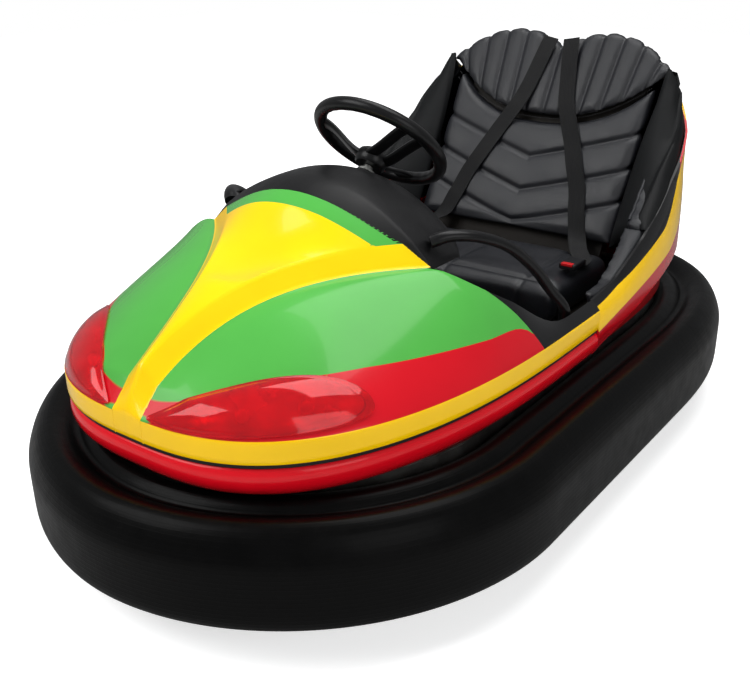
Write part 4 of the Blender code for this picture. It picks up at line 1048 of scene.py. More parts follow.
@dataclass
class Skirts:
    """The red mouldings under the band, and the black seal between."""

    def build(self) -> None:
        """Makes the front skirt, the seal and the recessed rear skirt."""
        section = smooth_path(
            [
                (0.032, 0.288, 0),
                (0.018, 0.297, 0),
                (0.006, 0.312, 0),
                (0.0012, 0.330, 0),
                (0.0035, 0.345, 0),
                (0.0085, 0.3514, 0),
            ],
            22,
        )
        self.wall(
            "front_skirt_paint",
            "front_skirt",
            section[:, :2],
            0.005,
            False,
            LINES.seam_y,
            RED_GELCOAT,
            "red_moulding",
        )
        seal = np.array([(0.0085, 0.3516), (0.0062, 0.3532), (0.0062, 0.3600), (0.0085, 0.3617)])
        self.wall(
            "joint_seal_lip",
            "joint_seal",
            seal,
            0.012,
            False,
            LINES.seam_y - 0.004,
            SOFT_RUBBER,
            "black_rubber",
        )
        path_section = np.array([(0.034, 0.0), (0.0325, 0.25), (0.032, 0.6), (0.0315, 1.0)])
        self.wall(
            "rear_skirt_paint",
            "rear_skirt",
            path_section,
            0.006,
            True,
            LINES.seam_y + 0.0003,
            SKIRT_RED_PAINTED_SHADE,
            "red_moulding",
        )

    def wall(
        self,
        name: str,
        node: str,
        section: Grid,
        wall: float,
        behind: bool,
        start_y: float,
        finish: Finish,
        slot: str,
    ) -> None:
        """A moulding that follows the body's outline.

        Args:
            name: of the piece.
            node: the frame's node that it stands for.
            section: rows of inset and height; behind, the height is a share of the way to the shell's lip.
            wall: thickness.
            behind: whether it goes round the tail.
            start_y: where both of its ends are.
            finish: its surface.
            slot: its material slot.
        """
        grids = []
        for move in (0.0, wall):
            columns = []
            for inset, height in section:
                path = LINES.side_path(inset + move, 221, behind, start_y)
                z = 0.288 + (
                    LINES.lip_z(path[:, 1]) - 0.0003 - 0.288
                ) * height if behind else np.full(len(path), height)
                columns.append(np.column_stack([path, z]))
            grids.append(np.array(columns).transpose(1, 0, 2))
        piece = Piece(name, finish, slot, replaces=(node,), sharp=50.0)
        piece.place(piece.build(*slab_data(*grids)))


# ---------------------------------------------------------------- rubber ring
@dataclass(frozen=True)
class RingRubber(Finish):
    """Moulded ring rubber: concentric mould lines, with fine cuts and scuffs across them from knocks."""

    def height_node(self, tree: Any, place: Any) -> Any:
        """Mould lines along the ring from its own map, and scuffs."""
        split = add_node(tree, "ShaderNodeSeparateXYZ", {}, {0: place.outputs["UV"]})
        # Lines 9 mm apart across the section.
        lines = maths_node(tree, "MULTIPLY", split.outputs["Y"], 2.0 * math.pi / 0.009)
        wave = maths_node(tree, "SINE", lines.outputs[0])
        rise = remap_node(tree, wave.outputs[0], 0.55, 1.0, 0.0, 0.35)
        stretch = add_node(
            tree, "ShaderNodeMapping", {"Scale": (160.0, 24.0, 1.0)}, {"Vector": place.outputs["UV"]}
        )
        cuts = add_node(
            tree,
            "ShaderNodeTexNoise",
            {"Scale": 1.0, "Detail": 4.0, "Roughness": 0.7},
            {"Vector": stretch.outputs[0]},
        )
        rough = noise_node(tree, place.outputs["Object"], 70.0, 5.0)
        both = maths_node(tree, "MULTIPLY_ADD", cuts.outputs["Fac"], 0.55, rise.outputs["Result"])
        total = maths_node(tree, "MULTIPLY_ADD", rough.outputs["Fac"], 0.8, both.outputs[0])
        return total.outputs[0]


# Moulded ring rubber: near black, polished where it is knocked and dull where it is cut.
RING_SKIN = RingRubber(
    "moulded_ring_rubber_scuffed",
    "#030303",
    roughness=0.32,
    coat=0.05,
    coat_roughness=0.16,
    bump=0.34,
    mottle=0.35,
    mottle_size=45.0,
    wear=0.10,
    specular=0.13,
)
# The same red gel coat on the recessed rear skirt, duller with rubbed-on rubber; its darker red is painted
# shade from the shell's lip above it.
SKIRT_RED_PAINTED_SHADE = Finish(
    "red_gelcoat_rubbed_painted_shade",
    "#a80f16",
    roughness=0.30,
    coat=0.4,
    coat_roughness=0.15,
    grain=30.0,
    bump=0.05,
    mottle=0.2,
    mottle_size=70.0,
)


@dataclass
class BumperRing:
    """The inflated-looking rubber ring with its crown, groove and inner bead.

    Args:
        length: over all.
        width: over all.
        front: length and roundness of the front end.
        rear: of the rear end.
        around: points round the plan.
    """

    length: float = 1.950
    width: float = 1.177
    front: tuple[float, float] = (0.597, 1.927)
    rear: tuple[float, float] = (0.694, 2.499)
    around: int = 320
    section: tuple[tuple[float, float], ...] = (
        (0.060, 0.0800),
        (0.030, 0.0806),
        (0.011, 0.0930),
        (0.0015, 0.1150),
        (0.000, 0.1500),
        (0.000, 0.1900),
        (0.0008, 0.2160),
        (0.0050, 0.2330),
        (0.0150, 0.2560),
        (0.0290, 0.2740),
        (0.0460, 0.2838),
        (0.0620, 0.2818),
        (0.0770, 0.2745),
        (0.0880, 0.2650),
        (0.0950, 0.2604),
        (0.1035, 0.2606),
        (0.1120, 0.2690),
        (0.1240, 0.2772),
        (0.1380, 0.2782),
        (0.1530, 0.2720),
        (0.1640, 0.2610),
        (0.1698, 0.2480),
        (0.1700, 0.1800),
        (0.1695, 0.1050),
        (0.1600, 0.0850),
        (0.1300, 0.0802),
    )

    def plan(self) -> tuple[Grid, Grid]:
        """The outer wall's plan points and the inward direction at each."""
        half = self.length / 2
        angle = np.linspace(0.0, 2.0 * math.pi, 2880, endpoint=False)
        s, c = np.sin(angle), -np.cos(angle)
        power = np.where(c < 0, self.front[1], self.rear[1])
        x = self.width / 2 * np.sign(s) * np.abs(s) ** (2.0 / power)
        ahead_y = -half + self.front[0] - self.front[0] * np.abs(c) ** (2.0 / power)
        behind_y = half - self.rear[0] + self.rear[0] * np.abs(c) ** (2.0 / power)
        loop = np.stack([x, np.where(c < 0, ahead_y, behind_y)], axis=1)
        closed = np.vstack([loop, loop[:1]])
        run = run_along(closed)
        want = np.linspace(0.0, run[-1], self.around, endpoint=False)
        base = np.stack([np.interp(want, run, closed[:, k]) for k in (0, 1)], axis=1)
        ahead = np.roll(base, -1, axis=0) - np.roll(base, 1, axis=0)
        inward = np.stack([-ahead[:, 1], ahead[:, 0]], axis=1)
        return base, inward / np.linalg.norm(inward, axis=1)[:, None]

    def build(self) -> None:
        """Sweeps the section round the plan and maps it in metres: along the ring, and across the section."""
        rows = [*self.section, self.section[0]]
        fine = smooth_path([(a, b, 0.0) for a, b in rows], 4 * len(self.section) + 1)[:-1]
        fine[:, 0] = np.maximum(fine[:, 0], 0.0)
        base, inward = self.plan()
        loops = [np.column_stack([base + inward * inset, np.full(self.around, z)]) for inset, z, _ in fine]
        points, faces = ring_data(loops)
        piece = Piece(
            "bumper_tyre_rubber", RING_SKIN, "black_rubber", replaces=("bumper_tyre",), sharp=60.0
        )
        obj = piece.build(points, faces)
        across = run_along(fine)
        step = np.linalg.norm(base[1] - base[0])
        layer = obj.data.uv_layers.new(name="UVMap")
        for polygon in obj.data.polygons:
            spots = [divmod(k, self.around) for k in polygon.vertices]
            wraps_i = max(i for i, _ in spots) - min(i for i, _ in spots) > 2
            wraps_j = max(j for _, j in spots) - min(j for _, j in spots) > 2
            for corner, (i, j) in zip(polygon.loop_indices, spots):
                v = across[-1] + (across[1] - across[0]) if wraps_i and i == 0 else across[i]
                u = (self.around if wraps_j and j == 0 else j) * step
                layer.data[corner].uv = (u, v)
        piece.place(obj)


# ---------------------------------------------------------------- lamps
@dataclass(frozen=True)
class LampGlass:
    """Red moulded acrylic lens: clear through, glossy, with a deep colour.

    Args:
        name: of the material.
        colour: sRGB hex.
    """

    name: str = "red_moulded_acrylic"
    colour: str = "#ee0a22"

    def make(self) -> bpy.types.Material:
        """Makes the material: a coloured clear skin with faint moulding flow lines in its gloss."""
        known = bpy.data.materials.get(self.name)
        if known is not None:
            return known
        made = bpy.data.materials.new(self.name)
        made.use_nodes = True
        tree = made.node_tree
        shader = tree.nodes["Principled BSDF"]
        shader.inputs["IOR"].default_value = 1.49
        shader.inputs["Transmission Weight"].default_value = 0.72
        shader.inputs["Coat Weight"].default_value = 0.6
        shader.inputs["Coat Roughness"].default_value = 0.02
        place = add_node(tree, "ShaderNodeTexCoord")
        flow = noise_node(tree, place.outputs["Object"], 30.0, 2.0)
        tint = remap_node(tree, flow.outputs["Fac"], 0.3, 0.7, 0.85, 1.05)
        shade = add_node(
            tree,
            "ShaderNodeHueSaturation",
            {"Color": linear(self.colour)},
            {"Value": tint.outputs["Result"]},
        )
        tree.links.new(shade.outputs["Color"], shader.inputs["Base Color"])
        rough = remap_node(tree, flow.outputs["Fac"], 0.3, 0.7, 0.04, 0.10)
        tree.links.new(rough.outputs["Result"], shader.inputs["Roughness"])
        bump = add_node(
            tree, "ShaderNodeBump", {"Strength": 0.3, "Distance": 0.0006}, {"Height": flow.outputs["Fac"]}
        )
        tree.links.new(bump.outputs["Normal"], shader.inputs["Normal"])
        return made


# Vacuum-metallised plastic behind the lens, a little hazy.
REFLECTOR = Finish(
    "metallised_reflector", "#e6b9b9", roughness=0.22, metallic=0.6, grain=8.0, bump=0.1, mottle=0.15
)
# Opal glass of the small filament bulbs.
BULB_GLASS = Finish("opal_bulb_glass", "#ffd9d0", roughness=0.12, coat=0.5, grain=6.0, bump=0.02)


@dataclass
class Lamps:
    """The two tear-drop lamps let into the fenders.

    Args:
        front: row of the hood at the lamp's front tip, as a share.
        rear: at its rear tip.
        tip: share of the way up the hood at the tips.
        rise: by which the middle line lies higher between them.
        half: half of the height, as such a share.
        opening: size of the hood's opening, of the lens.
        bowl: size of the bowl behind it.
        recess: depth of that bowl.
        skin: thickness of the lens.
    """

    front: float = 0.045
    rear: float = 0.405
    tip: float = 0.052
    rise: float = 0.083
    half: float = 0.1215
    opening: float = 0.94
    bowl: float = 0.918
    recess: float = 0.030
    skin: float = 0.0025

    def spot(self, turn: Any, reach: Any) -> tuple[Any, Any]:
        """Place on the hood's rows of a point turn round the lamp and reach, 0 to 1, out from its middle."""
        along = np.cos(turn) * reach
        step = self.front + (self.rear - self.front) * (along + 1.0) / 2.0
        middle = self.tip + self.rise * (1.0 - along**2) ** 0.8 * (1.0 - 0.08 * along)
        return step, middle + self.half * (1.0 - 0.14 * along) * np.sin(turn) * reach

    def over(self, turn: Any, reach: Any, height: Any) -> Grid:
        """Points that stand height above the hood."""
        step, share = self.spot(turn, reach)
        delta = 0.004
        point = LINES.hood_point(step, share)
        along = LINES.hood_point(step + delta, share) - LINES.hood_point(step - delta, share)
        up = LINES.hood_point(step, share + 3 * delta) - LINES.hood_point(step, share - 3 * delta)
        normal = np.cross(along, up)
        normal /= np.linalg.norm(normal, axis=-1, keepdims=True)
        return point + normal * np.asarray(height)[..., None]

    def dome(self, reach: Any) -> Any:
        """Height of the lens over the hood: a low dome inside a flat flange."""
        low = np.clip(1.0 - (reach / (self.opening + 0.01)) ** 2.5, 0.0, 1.0)
        return 0.0011 + self.skin + 0.014 * low

    def patch(
        self, side: int, size: float, top: Any, low: Any, rings: int = 6, around: int = 72
    ) -> tuple[Grid, list[tuple[int, ...]]]:
        """A closed solid over the lamp's tear-drop.

        Args:
            side: 1 for +X, -1 for -X.
            size: of the tear-drop.
            top: height of its outer face above the hood, a number or a function of the reach.
            low: of its inner face.
            rings: of faces from the middle out.
            around: faces round it.

        Returns:
            The points and the faces.
        """
        reach = np.linspace(0.0, 1.0, rings + 1)
        turn = np.linspace(0.0, 2.0 * math.pi, around, endpoint=False)
        grids = []
        for height in (top, low):
            levels = height(reach) if callable(height) else np.full(rings + 1, float(height))
            loops = [self.over(turn, reach[k] * size, np.full(around, levels[k])) for k in range(rings + 1)]
            grids.append(loops)
        points, faces = ring_data(grids[0] + grids[1][::-1], closed=False)
        return points * (side, 1, 1), faces

    def dome_inside(self, reach: Any) -> Any:
        """Height of the lens's inner face above the hood."""
        return self.dome(reach) - self.skin

    def hollow(self, reach: Any) -> Any:
        """Height of the bowl's face: level with the lens's inner face at its edge, sunk in the middle."""
        return float(self.dome_inside(self.bowl)) - 0.0008 - self.recess * (1.0 - reach**4)

    def hollow_back(self, reach: Any) -> Any:
        """Height of the bowl's back, 3 mm below its face."""
        return self.hollow(reach) - 0.003

    def build(self) -> None:
        """Makes lens, bowl and two bulbs on each side."""
        bottom = self.hollow(0.0)
        bulb_profile = [
            (0, 0), (0.013, 0), (0.013, 0.004), (0.0105, 0.006),
            (0.0105, 0.010), (0.008, 0.015), (0.0045, 0.018), (0, 0.019),
        ]
        for side, label in ((1, "left"), (-1, "right")):
            lens = Piece(
                f"lamp_glass_{label}", LampGlass(), "red_lens", replaces=(f"lamp_lens_{label}",), sharp=50.0
            )
            lens.place(lens.build(*self.patch(side, 1.0, self.dome, self.dome_inside, 16, 96)))
            bowl = Piece(
                f"lamp_reflector_{label}", REFLECTOR, "lamp_bowl", replaces=(
                    f"lamp_bowl_{label}",
                ), sharp=50.0
            )
            bowl.place(bowl.build(*self.patch(side, self.bowl, self.hollow, self.hollow_back, 10, 72)))
            for number, along in enumerate((-0.11, 0.45)):
                turn = 0.0 if along > 0 else math.pi
                base = self.over(turn, abs(along), bottom + 0.001)
                tip = self.over(turn, abs(along), bottom + 0.022)
                axis = (tip - base) / np.linalg.norm(tip - base)
                points, faces = turned_data(bulb_profile, 28)
                turn_to = np.array(Vector((0, 0, 1)).rotation_difference(Vector(axis)).to_matrix())
                points = (points @ turn_to.T + base) * (side, 1, 1)
                bulb = Piece(f"lamp_bulb_{label}_{number}", BULB_GLASS, "lamp_bowl")
                bulb.place(bulb.build(points, faces))


# ---------------------------------------------------------------- cockpit front
@dataclass
class Cowl:
    """The black dash cowl, with the grab loops on its corners."""

    rows: int = 81
    columns: int = 44

    def build(self) -> None:
        """Makes the cowl with the column's opening, and the two loops."""
        u = np.linspace(-1.0, 1.0, self.rows)
        x = u * LINES.arm_end[0]
        start = LINES.cowl_line(np.abs(x)) + 0.0006
        end = -0.100 - 0.150 * np.abs(u) ** 2.2
        share = np.linspace(0.0, 1.0, self.columns)
        y = start[:, None] + (end - start)[:, None] * share[None]
        x = np.broadcast_to(x[:, None], y.shape)
        z = LINES.hood_z(x, y) - 0.0035 * np.clip((share[None] - 0.90) / 0.10, 0.0, 1.0) ** 2
        top = np.stack([x, y, z], axis=2)
        low = top - np.array([0.0, 0.0, 0.006])
        piece = Piece("dash_cowl_moulding", COWL_BLACK, "black_trim", replaces=("dash_cowl",), sharp=50.0)
        obj = piece.build(*slab_data(top, low))
        tilt = np.array(Matrix.Rotation(-Steering.tilt, 3, "X"))
        points, faces = turned_data([(0, -0.5), (0.0366, -0.5), (0.0366, 0.0), (0, 0.0)], 48)
        cut(obj, [hidden_tool("column_opening", points @ tilt.T + np.array(Steering.centre), faces)])
        piece.place(obj)
        for side, label in ((1, "left"), (-1, "right")):
            self.grab_loop(side, label)

    def grab_loop(self, side: int, label: str) -> None:
        """Bar from the cowl's corner, arched over the rim's dip, to a foot on the rim's inner side."""
        x, y = 0.262, -0.318
        first = (x, y, float(LINES.hood_z(np.array(x), np.array(y))) + 0.0135)
        foot_x = LINES.half_width - LINES.rim_inset - LINES.wall - 0.013 - 0.0012
        rim = float(LINES.hood_z(np.array(LINES.half_width - LINES.rim_inset), np.array(-0.045)))
        middle = [
            (0.290, -0.292, 0.630),
            (0.325, -0.245, 0.622),
            (0.355, -0.180, 0.590),
            (0.380, -0.120, 0.535),
            (0.400, -0.078, 0.478),
        ]
        path = smooth_path(
            [first, *middle, (foot_x, -0.053, rim + 0.012), (foot_x, -0.045, rim - 0.022)], 64
        ) * (side, 1, 1)
        share = np.linspace(0.0, 1.0, len(path))
        radii = 0.0130 + 0.0045 * np.exp(-share / 0.08)
        piece = Piece(
            f"grab_loop_bar_{label}", LOOP_BLACK, "black_trim", replaces=(f"grab_loop_{label}",), sharp=50.0
        )
        piece.place(piece.build(*tube_data(path, np.minimum(radii, 0.0150), 20, 0.85)))


# Vacuum-formed black ABS of the cowl, with a leather grain and a half gloss.
COWL_BLACK = Grained(
    "grained_black_abs",
    "#0f0f10",
    roughness=0.34,
    grain=2.2,
    bump=0.05,
    mottle=0.2,
    mottle_size=70.0,
    wear=0.16,
    specular=0.4,
)
# Black moulded polyurethane of the loops and the wheel: smooth, hand-polished.
LOOP_BLACK = Finish(
    "hand_polished_polyurethane",
    "#0a0a0b",
    roughness=0.27,
    coat=0.15,
    coat_roughness=0.2,
    grain=3.0,
    bump=0.04,
    mottle=0.2,
    specular=0.45,
)


@dataclass
class Steering:
    """Steering wheel, and the bellows round its column.

    Args:
        centre: middle of the rim.
        tilt: of the column, back from upright.
        radius: of the rim's middle line.
        tube: of the rim's section.
        hub_z: height of the hub's face along the column, below the rim.
    """

    centre: tuple[float, float, float] = (0.0, -0.121, 0.744)
    tilt: float = math.radians(44.0)
    radius: float = 0.140
    tube: float = 0.0145
    hub_z: float = -0.050

    def tilted(self, points: Grid) -> Grid:
        """Points on the column's own axes, in place."""
        return points @ np.array(Matrix.Rotation(-self.tilt, 3, "X")).T + np.array(self.centre)

    def build(self) -> None:
        """Makes the rim, the hub with its three spokes, and the bellows."""
        turn = np.linspace(0.0, 2.0 * math.pi, 20, endpoint=False)
        ring = [(self.radius + self.tube * math.cos(t), self.tube * math.sin(t)) for t in turn]
        points, faces = turned_data(ring, 112)
        around = np.arctan2(points[:, 1], points[:, 0])
        # Finger grips on the rim's inner and lower side.
        out = np.hypot(points[:, 0], points[:, 1])
        inner = np.clip((self.radius - out) / self.tube, 0.0, 1.0)
        points[:, :2] *= (1.0 + 0.010 * inner * (0.5 + 0.5 * np.sin(around * 28)))[:, None]
        rim = Piece("steering_rim", LOOP_BLACK, "black_trim", "steering", ("steering_wheel",), 60.0)
        rim.place(rim.build(self.tilted(points), faces))
        face = self.hub_z
        profile = [
            (0, face - 0.011),
            (0.030, face - 0.011),
            (0.034, face - 0.006),
            (0.036, face + 0.012),
            (0.033, face + 0.019),
            (0.026, face + 0.024),
            (0.024, face + 0.0225),
            (0.012, face + 0.026),
            (0, face + 0.0275),
        ]
        hub = Piece("steering_hub", LOOP_BLACK, "black_trim", "steering", (), 40.0)
        points, faces = turned_data(profile, 48)
        hub.place(hub.build(self.tilted(points), faces))
        for number, (angle, width, split) in enumerate(
            ((90.0, 0.050, 0.0), (205.0, 0.044, 0.0), (335.0, 0.062, 0.012))
        ):
            for part in (-1, 1) if split else (0,):
                self.spoke(number, part, angle, width, split)
        self.bellows()

    def spoke(self, number: int, part: int, angle: float, width: float, split: float) -> None:
        """One spoke, or one bar of a double spoke.

        Args:
            number: of the spoke.
            part: -1 or 1 for the bars of a double one, 0 for a single one.
            angle: degrees round the hub.
            width: at the hub.
            split: gap between two bars.
        """
        share = np.linspace(0.0, 1.0, 18)
        run = 0.018 + (self.radius - 0.006 - 0.018) * share
        rise = self.hub_z + 0.008 + (-self.hub_z - 0.010) * smooth_step(share * 1.02)
        half = width / 2 * (1.0 - 0.35 * np.sin(share * math.pi) ** 0.8) if not part else np.full(
            18, (width - split) / 4
        )
        middle = part * (width + split) / 4 * (1.0 + 0.25 * share)
        turn = np.linspace(0.0, 2.0 * math.pi, 16, endpoint=False)
        loops = []
        for k in range(18):
            y = middle[k] if part else 0.0
            super_y = np.sign(np.cos(turn)) * np.abs(np.cos(turn)) ** 0.6 * half[k] + y
            super_z = np.sign(np.sin(turn)) * np.abs(np.sin(turn)) ** 0.6 * 0.0062 + rise[k]
            loops.append(np.column_stack([np.full(16, run[k]), super_y, super_z]))
        points, faces = ring_data(loops, closed=False)
        faces += [tuple(range(16))[::-1], tuple(range(len(points) - 16, len(points)))]
        points = points @ np.array(Matrix.Rotation(math.radians(angle), 3, "Z")).T
        piece = Piece(f"steering_spoke_{number}_{part + 1}", LOOP_BLACK, "black_trim", "steering", (), 50.0)
        piece.place(piece.build(self.tilted(points), faces))

    def bellows(self) -> None:
        """Ribbed rubber gaiter round the column, wide at the cowl."""
        low, high, ribs, tube_r = -0.1348, -0.0768, 6, 0.0204
        pitch = (high - low) / ribs
        heights = np.linspace(0.0, 1.0, ribs * 12 + 1)
        outline = []
        for share in heights:
            phase = share * ribs * 2 * math.pi
            crest = 0.0345 - 0.0095 * share
            outline.append(
                (crest - 0.0042 * (0.5 + 0.5 * math.cos(phase)) ** 1.5, low + pitch * ribs * share)
            )
        profile = [(tube_r, low), *outline, (tube_r, high)]
        points, faces = turned_data(profile, 56)
        piece = Piece(
            "column_gaiter", SOFT_RUBBER, "black_rubber", replaces=("column_bellows",), sharp=70.0
        )
        piece.place(piece.build(self.tilted(points), faces))


# ---------------------------------------------------------------- repeated small parts
@dataclass
class Stitching:
    """A row of thread stitches, made by Geometry Nodes from points with their directions.

    Args:
        length: of one stitch.
        thickness: of the thread.
    """

    length: float = 0.0042
    thickness: float = 0.0011

    def tree(self) -> bpy.types.NodeTree:
        """The node tree: one small barrel on each point, laid along its own direction."""
        known = bpy.data.node_groups.get("stitch_row")
        if known is not None:
            return known
        tree = bpy.data.node_groups.new("stitch_row", "GeometryNodeTree")
        face = tree.interface
        face.new_socket("Geometry", in_out="INPUT", socket_type="NodeSocketGeometry")
        face.new_socket("Length", in_out="INPUT", socket_type="NodeSocketFloat")
        face.new_socket("Thickness", in_out="INPUT", socket_type="NodeSocketFloat")
        face.new_socket("Finish", in_out="INPUT", socket_type="NodeSocketMaterial")
        face.new_socket("Geometry", in_out="OUTPUT", socket_type="NodeSocketGeometry")
        enter = add_node(tree, "NodeGroupInput")
        along = add_node(tree, "GeometryNodeInputNamedAttribute", {"data_type": "FLOAT_VECTOR"})
        along.inputs["Name"].default_value = "along"
        barrel = add_node(tree, "GeometryNodeMeshUVSphere", {"Segments": 7, "Rings": 6, "Radius": 0.5})
        turn = add_node(
            tree, "FunctionNodeAlignRotationToVector", {"axis": "Z"}, {"Vector": along.outputs["Attribute"]}
        )
        size = add_node(
            tree,
            "ShaderNodeCombineXYZ",
            {},
            {0: enter.outputs["Thickness"], 1: enter.outputs["Thickness"], 2: enter.outputs["Length"]},
        )
        copies = add_node(
            tree,
            "GeometryNodeInstanceOnPoints",
            {},
            {
                "Points": enter.outputs["Geometry"],
                "Instance": barrel.outputs["Mesh"],
                "Rotation": turn.outputs["Rotation"],
                "Scale": size.outputs[0],
            },
        )
        real = add_node(tree, "GeometryNodeRealizeInstances", {}, {"Geometry": copies.outputs["Instances"]})
        coat = add_node(
            tree,
            "GeometryNodeSetMaterial",
            {},
            {"Geometry": real.outputs["Geometry"], "Material": enter.outputs["Finish"]},
        )
        leave = add_node(tree, "NodeGroupOutput")
        tree.links.new(coat.outputs["Geometry"], leave.inputs["Geometry"])
        return tree

    def build(self, name: str, points: Grid, along: Grid, finish: Finish, slot: str) -> None:
        """Makes one piece from the rows.

        Args:
            name: of the piece.
            points: middle of each stitch.
            along: its direction.
            finish: of the thread.
            slot: its material slot.
        """
        mesh = bpy.data.meshes.new(name)
        mesh.from_pydata([tuple(map(float, p)) for p in points], [], [])
        mesh.attributes.new("along", "FLOAT_VECTOR", "POINT").data.foreach_set(
            "vector", np.asarray(along, np.float32).ravel()
        )
        obj = bpy.data.objects.new(name, mesh)
        bpy.context.scene.collection.objects.link(obj)
        rows = obj.modifiers.new("Rows", "NODES")
        rows.node_group = self.tree()
        values = {"Length": self.length, "Thickness": self.thickness, "Finish": finish.make()}
        for item in self.tree().interface.items_tree:
            if item.in_out == "INPUT" and item.name in values:
                rows[item.identifier] = values[item.name]
        settle(obj)
        for label in [a.name for a in obj.data.attributes if a.name == "along"]:
            obj.data.attributes.remove(obj.data.attributes[label])
        obj.data.shade_smooth()
        Piece(name, finish, slot).place(obj)


# ---------------------------------------------------------------- upholstery
# Bonded nylon thread of the seams.
THREAD = Finish("bonded_nylon_thread", "#2c2d30", roughness=0.55, sheen=0.2, grain=0.8, bump=0.05)
# PVC-coated seat cloth on foam, embossed like hide; it shines on the crowns and is dull in the folds.
PAD_VINYL = Grained(
    "embossed_seat_vinyl_on_foam",
    "#15161a",
    roughness=0.33,
    grain=3.0,
    bump=0.16,
    mottle=0.22,
    mottle_size=80.0,
    wear=0.16,
    specular=1.0,
)
# The same vinyl on the side panels, smooth and dull.
WING_VINYL = Grained(
    "dull_side_panel_vinyl",
    "#0b0c0d",
    roughness=0.5,
    grain=3.0,
    bump=0.12,
    mottle=0.2,
    mottle_size=80.0,
    specular=0.35,
)


def seat_face_y(z: Any) -> Any:
    """The backrest's front face at a height: it leans back."""
    return 0.559 + 0.57 * (z - 0.587)


def smile_z(x: Any) -> Any:
    """The curved seam between backrest and headrest."""
    return np.minimum(0.674 + 0.130 * (np.abs(x) / 0.330) ** 2.4, 0.794)


def crest_z(x: Any) -> Any:
    """The headrest's top edge: two humps with a notch between."""
    across = np.abs(x)
    inner = 0.902 - 0.036 * np.clip((0.131 - across) / 0.131, 0, 1) ** 2
    return inner - 0.090 * np.clip((across - 0.131) / 0.214, 0.0, 1.0) ** 2.2


FACE_OUT = np.array([0.0, -0.869, 0.495])


@dataclass
class Pad:
    """One stuffed pad: foam under stretched vinyl, swollen by cloth simulation and then sewn down.

    Args:
        node: the frame's node that it stands for.
        name: of the piece.
        fill: how tight it is stuffed; not used.
        cap: how far a point may swell.
        voxel: size of the simulated cloth's mesh.
        seams: for a point's x, y and z, the distance to the nearest sewn line.
        depth: of that line.
        reach: half width of the groove.
    """

    node: str
    name: str
    fill: float = 0.8
    cap: float = 0.007
    voxel: float = 0.007
    seams: Callable[[Grid], Grid] | None = None
    depth: float = 0.0055
    reach: float = 0.0085

    def build(self) -> bpy.types.Object:
        mesh = frame["nodes"][self.node].data.copy()
        mesh.name = self.name
        work = bmesh.new()
        work.from_mesh(mesh)
        bmesh.ops.remove_doubles(work, verts=work.verts, dist=1e-5)
        bmesh.ops.recalc_face_normals(work, faces=work.faces)
        work.normal_update()
        moves = {vert: vert.normal * -0.0035 for vert in work.verts}
        for vert, move in moves.items():
            vert.co += move
        work.to_mesh(mesh)
        work.free()
        obj = bpy.data.objects.new(self.name, mesh)
        bpy.context.scene.collection.objects.link(obj)
        remesh = obj.modifiers.new("Cloth_mesh", "REMESH")
        remesh.mode = "VOXEL"
        remesh.voxel_size = self.voxel
        settle(obj)
        self.relax(obj, 6)
        self.swell(obj)
        self.relax(obj, 3)
        finer = obj.modifiers.new("Finer", "SUBSURF")
        finer.levels = 1
        finer.render_levels = 1
        settle(obj)
        if self.seams is not None:
            self.sew(obj)
        obj.data.materials.clear()
        obj.data.materials.append(PAD_VINYL.make())
        obj.data.shade_smooth()
        Piece(self.name, PAD_VINYL, "black_leatherette", replaces=(self.node,)).place(obj)
        return obj

    def coordinates(self, obj: bpy.types.Object) -> Grid:
        """The mesh's points."""
        co = np.empty(len(obj.data.vertices) * 3, np.float32)
        obj.data.vertices.foreach_get("co", co)
        return co.reshape(-1, 3).astype(float)

    def write(self, obj: bpy.types.Object, points: Grid) -> None:
        """Sets the mesh's points."""
        obj.data.vertices.foreach_set("co", points.astype(np.float32).ravel())
        obj.data.update()

    def relax(self, obj: bpy.types.Object, times: int) -> None:
        """Rounds the pad's edges by moving each point towards its neighbours."""
        edges = np.empty(len(obj.data.edges) * 2, np.int32)
        obj.data.edges.foreach_get("vertices", edges)
        a, b = edges.reshape(-1, 2).T
        points = self.coordinates(obj)
        count = np.bincount(np.concatenate([a, b]), minlength=len(points))[:, None]
        for _ in range(times):
            total = np.zeros_like(points)
            np.add.at(total, a, points[b])
            np.add.at(total, b, points[a])
            points += 0.5 * (total / np.maximum(count, 1) - points)
        self.write(obj, points)

    def normals(self, obj: bpy.types.Object) -> Grid:
        """The mesh's point normals."""
        out = np.empty(len(obj.data.vertices) * 3, np.float32)
        obj.data.vertex_normals.foreach_get("vector", out)
        return out.reshape(-1, 3).astype(float)

    def swell(self, obj: bpy.types.Object) -> None:
        """Blows the cloth up from inside, and holds each point within the cap."""
        before = self.coordinates(obj)
        cloth = obj.modifiers.new("Cloth", "CLOTH")
        cloth.settings.quality = 4
        cloth.settings.use_pressure = True
        cloth.settings.uniform_pressure_force = 4.0
        cloth.settings.effector_weights.gravity = 0.0
        cloth.settings.tension_stiffness = 12.0
        cloth.settings.compression_stiffness = 12.0
        cloth.settings.bending_stiffness = 0.6
        cloth.collision_settings.use_collision = False
        scene = bpy.context.scene
        for number in range(1, 19):
            scene.frame_set(number)
        settle(obj)
        scene.frame_set(1)
        move = self.coordinates(obj) - before
        size = np.linalg.norm(move, axis=1, keepdims=True)
        held = self.cap * np.tanh(size / self.cap)
        self.write(obj, before + move * held / np.maximum(size, 1e-9))

    def sew(self, obj: bpy.types.Object) -> None:
        """Pulls the cloth down along the sewn lines."""
        points = self.coordinates(obj)
        away = self.seams(points)
        pull = self.depth * np.exp(-((away / self.reach) ** 2)) + 0.45 * self.depth * np.exp(
            -((away / (3 * self.reach)) ** 2)
        )
        self.write(obj, points - self.normals(obj) * pull[:, None])


def back_seams(points: Grid) -> Grid:
    """Distance to the backrest's nested V seams."""
    x, z = np.abs(points[:, 0]), points[:, 2]
    lines = [start + 0.25 * x + 0.10 * x**2 for start in (0.587, 0.505, 0.428)]
    return np.min([np.abs(z - line) * 1.1 for line in lines], axis=0)


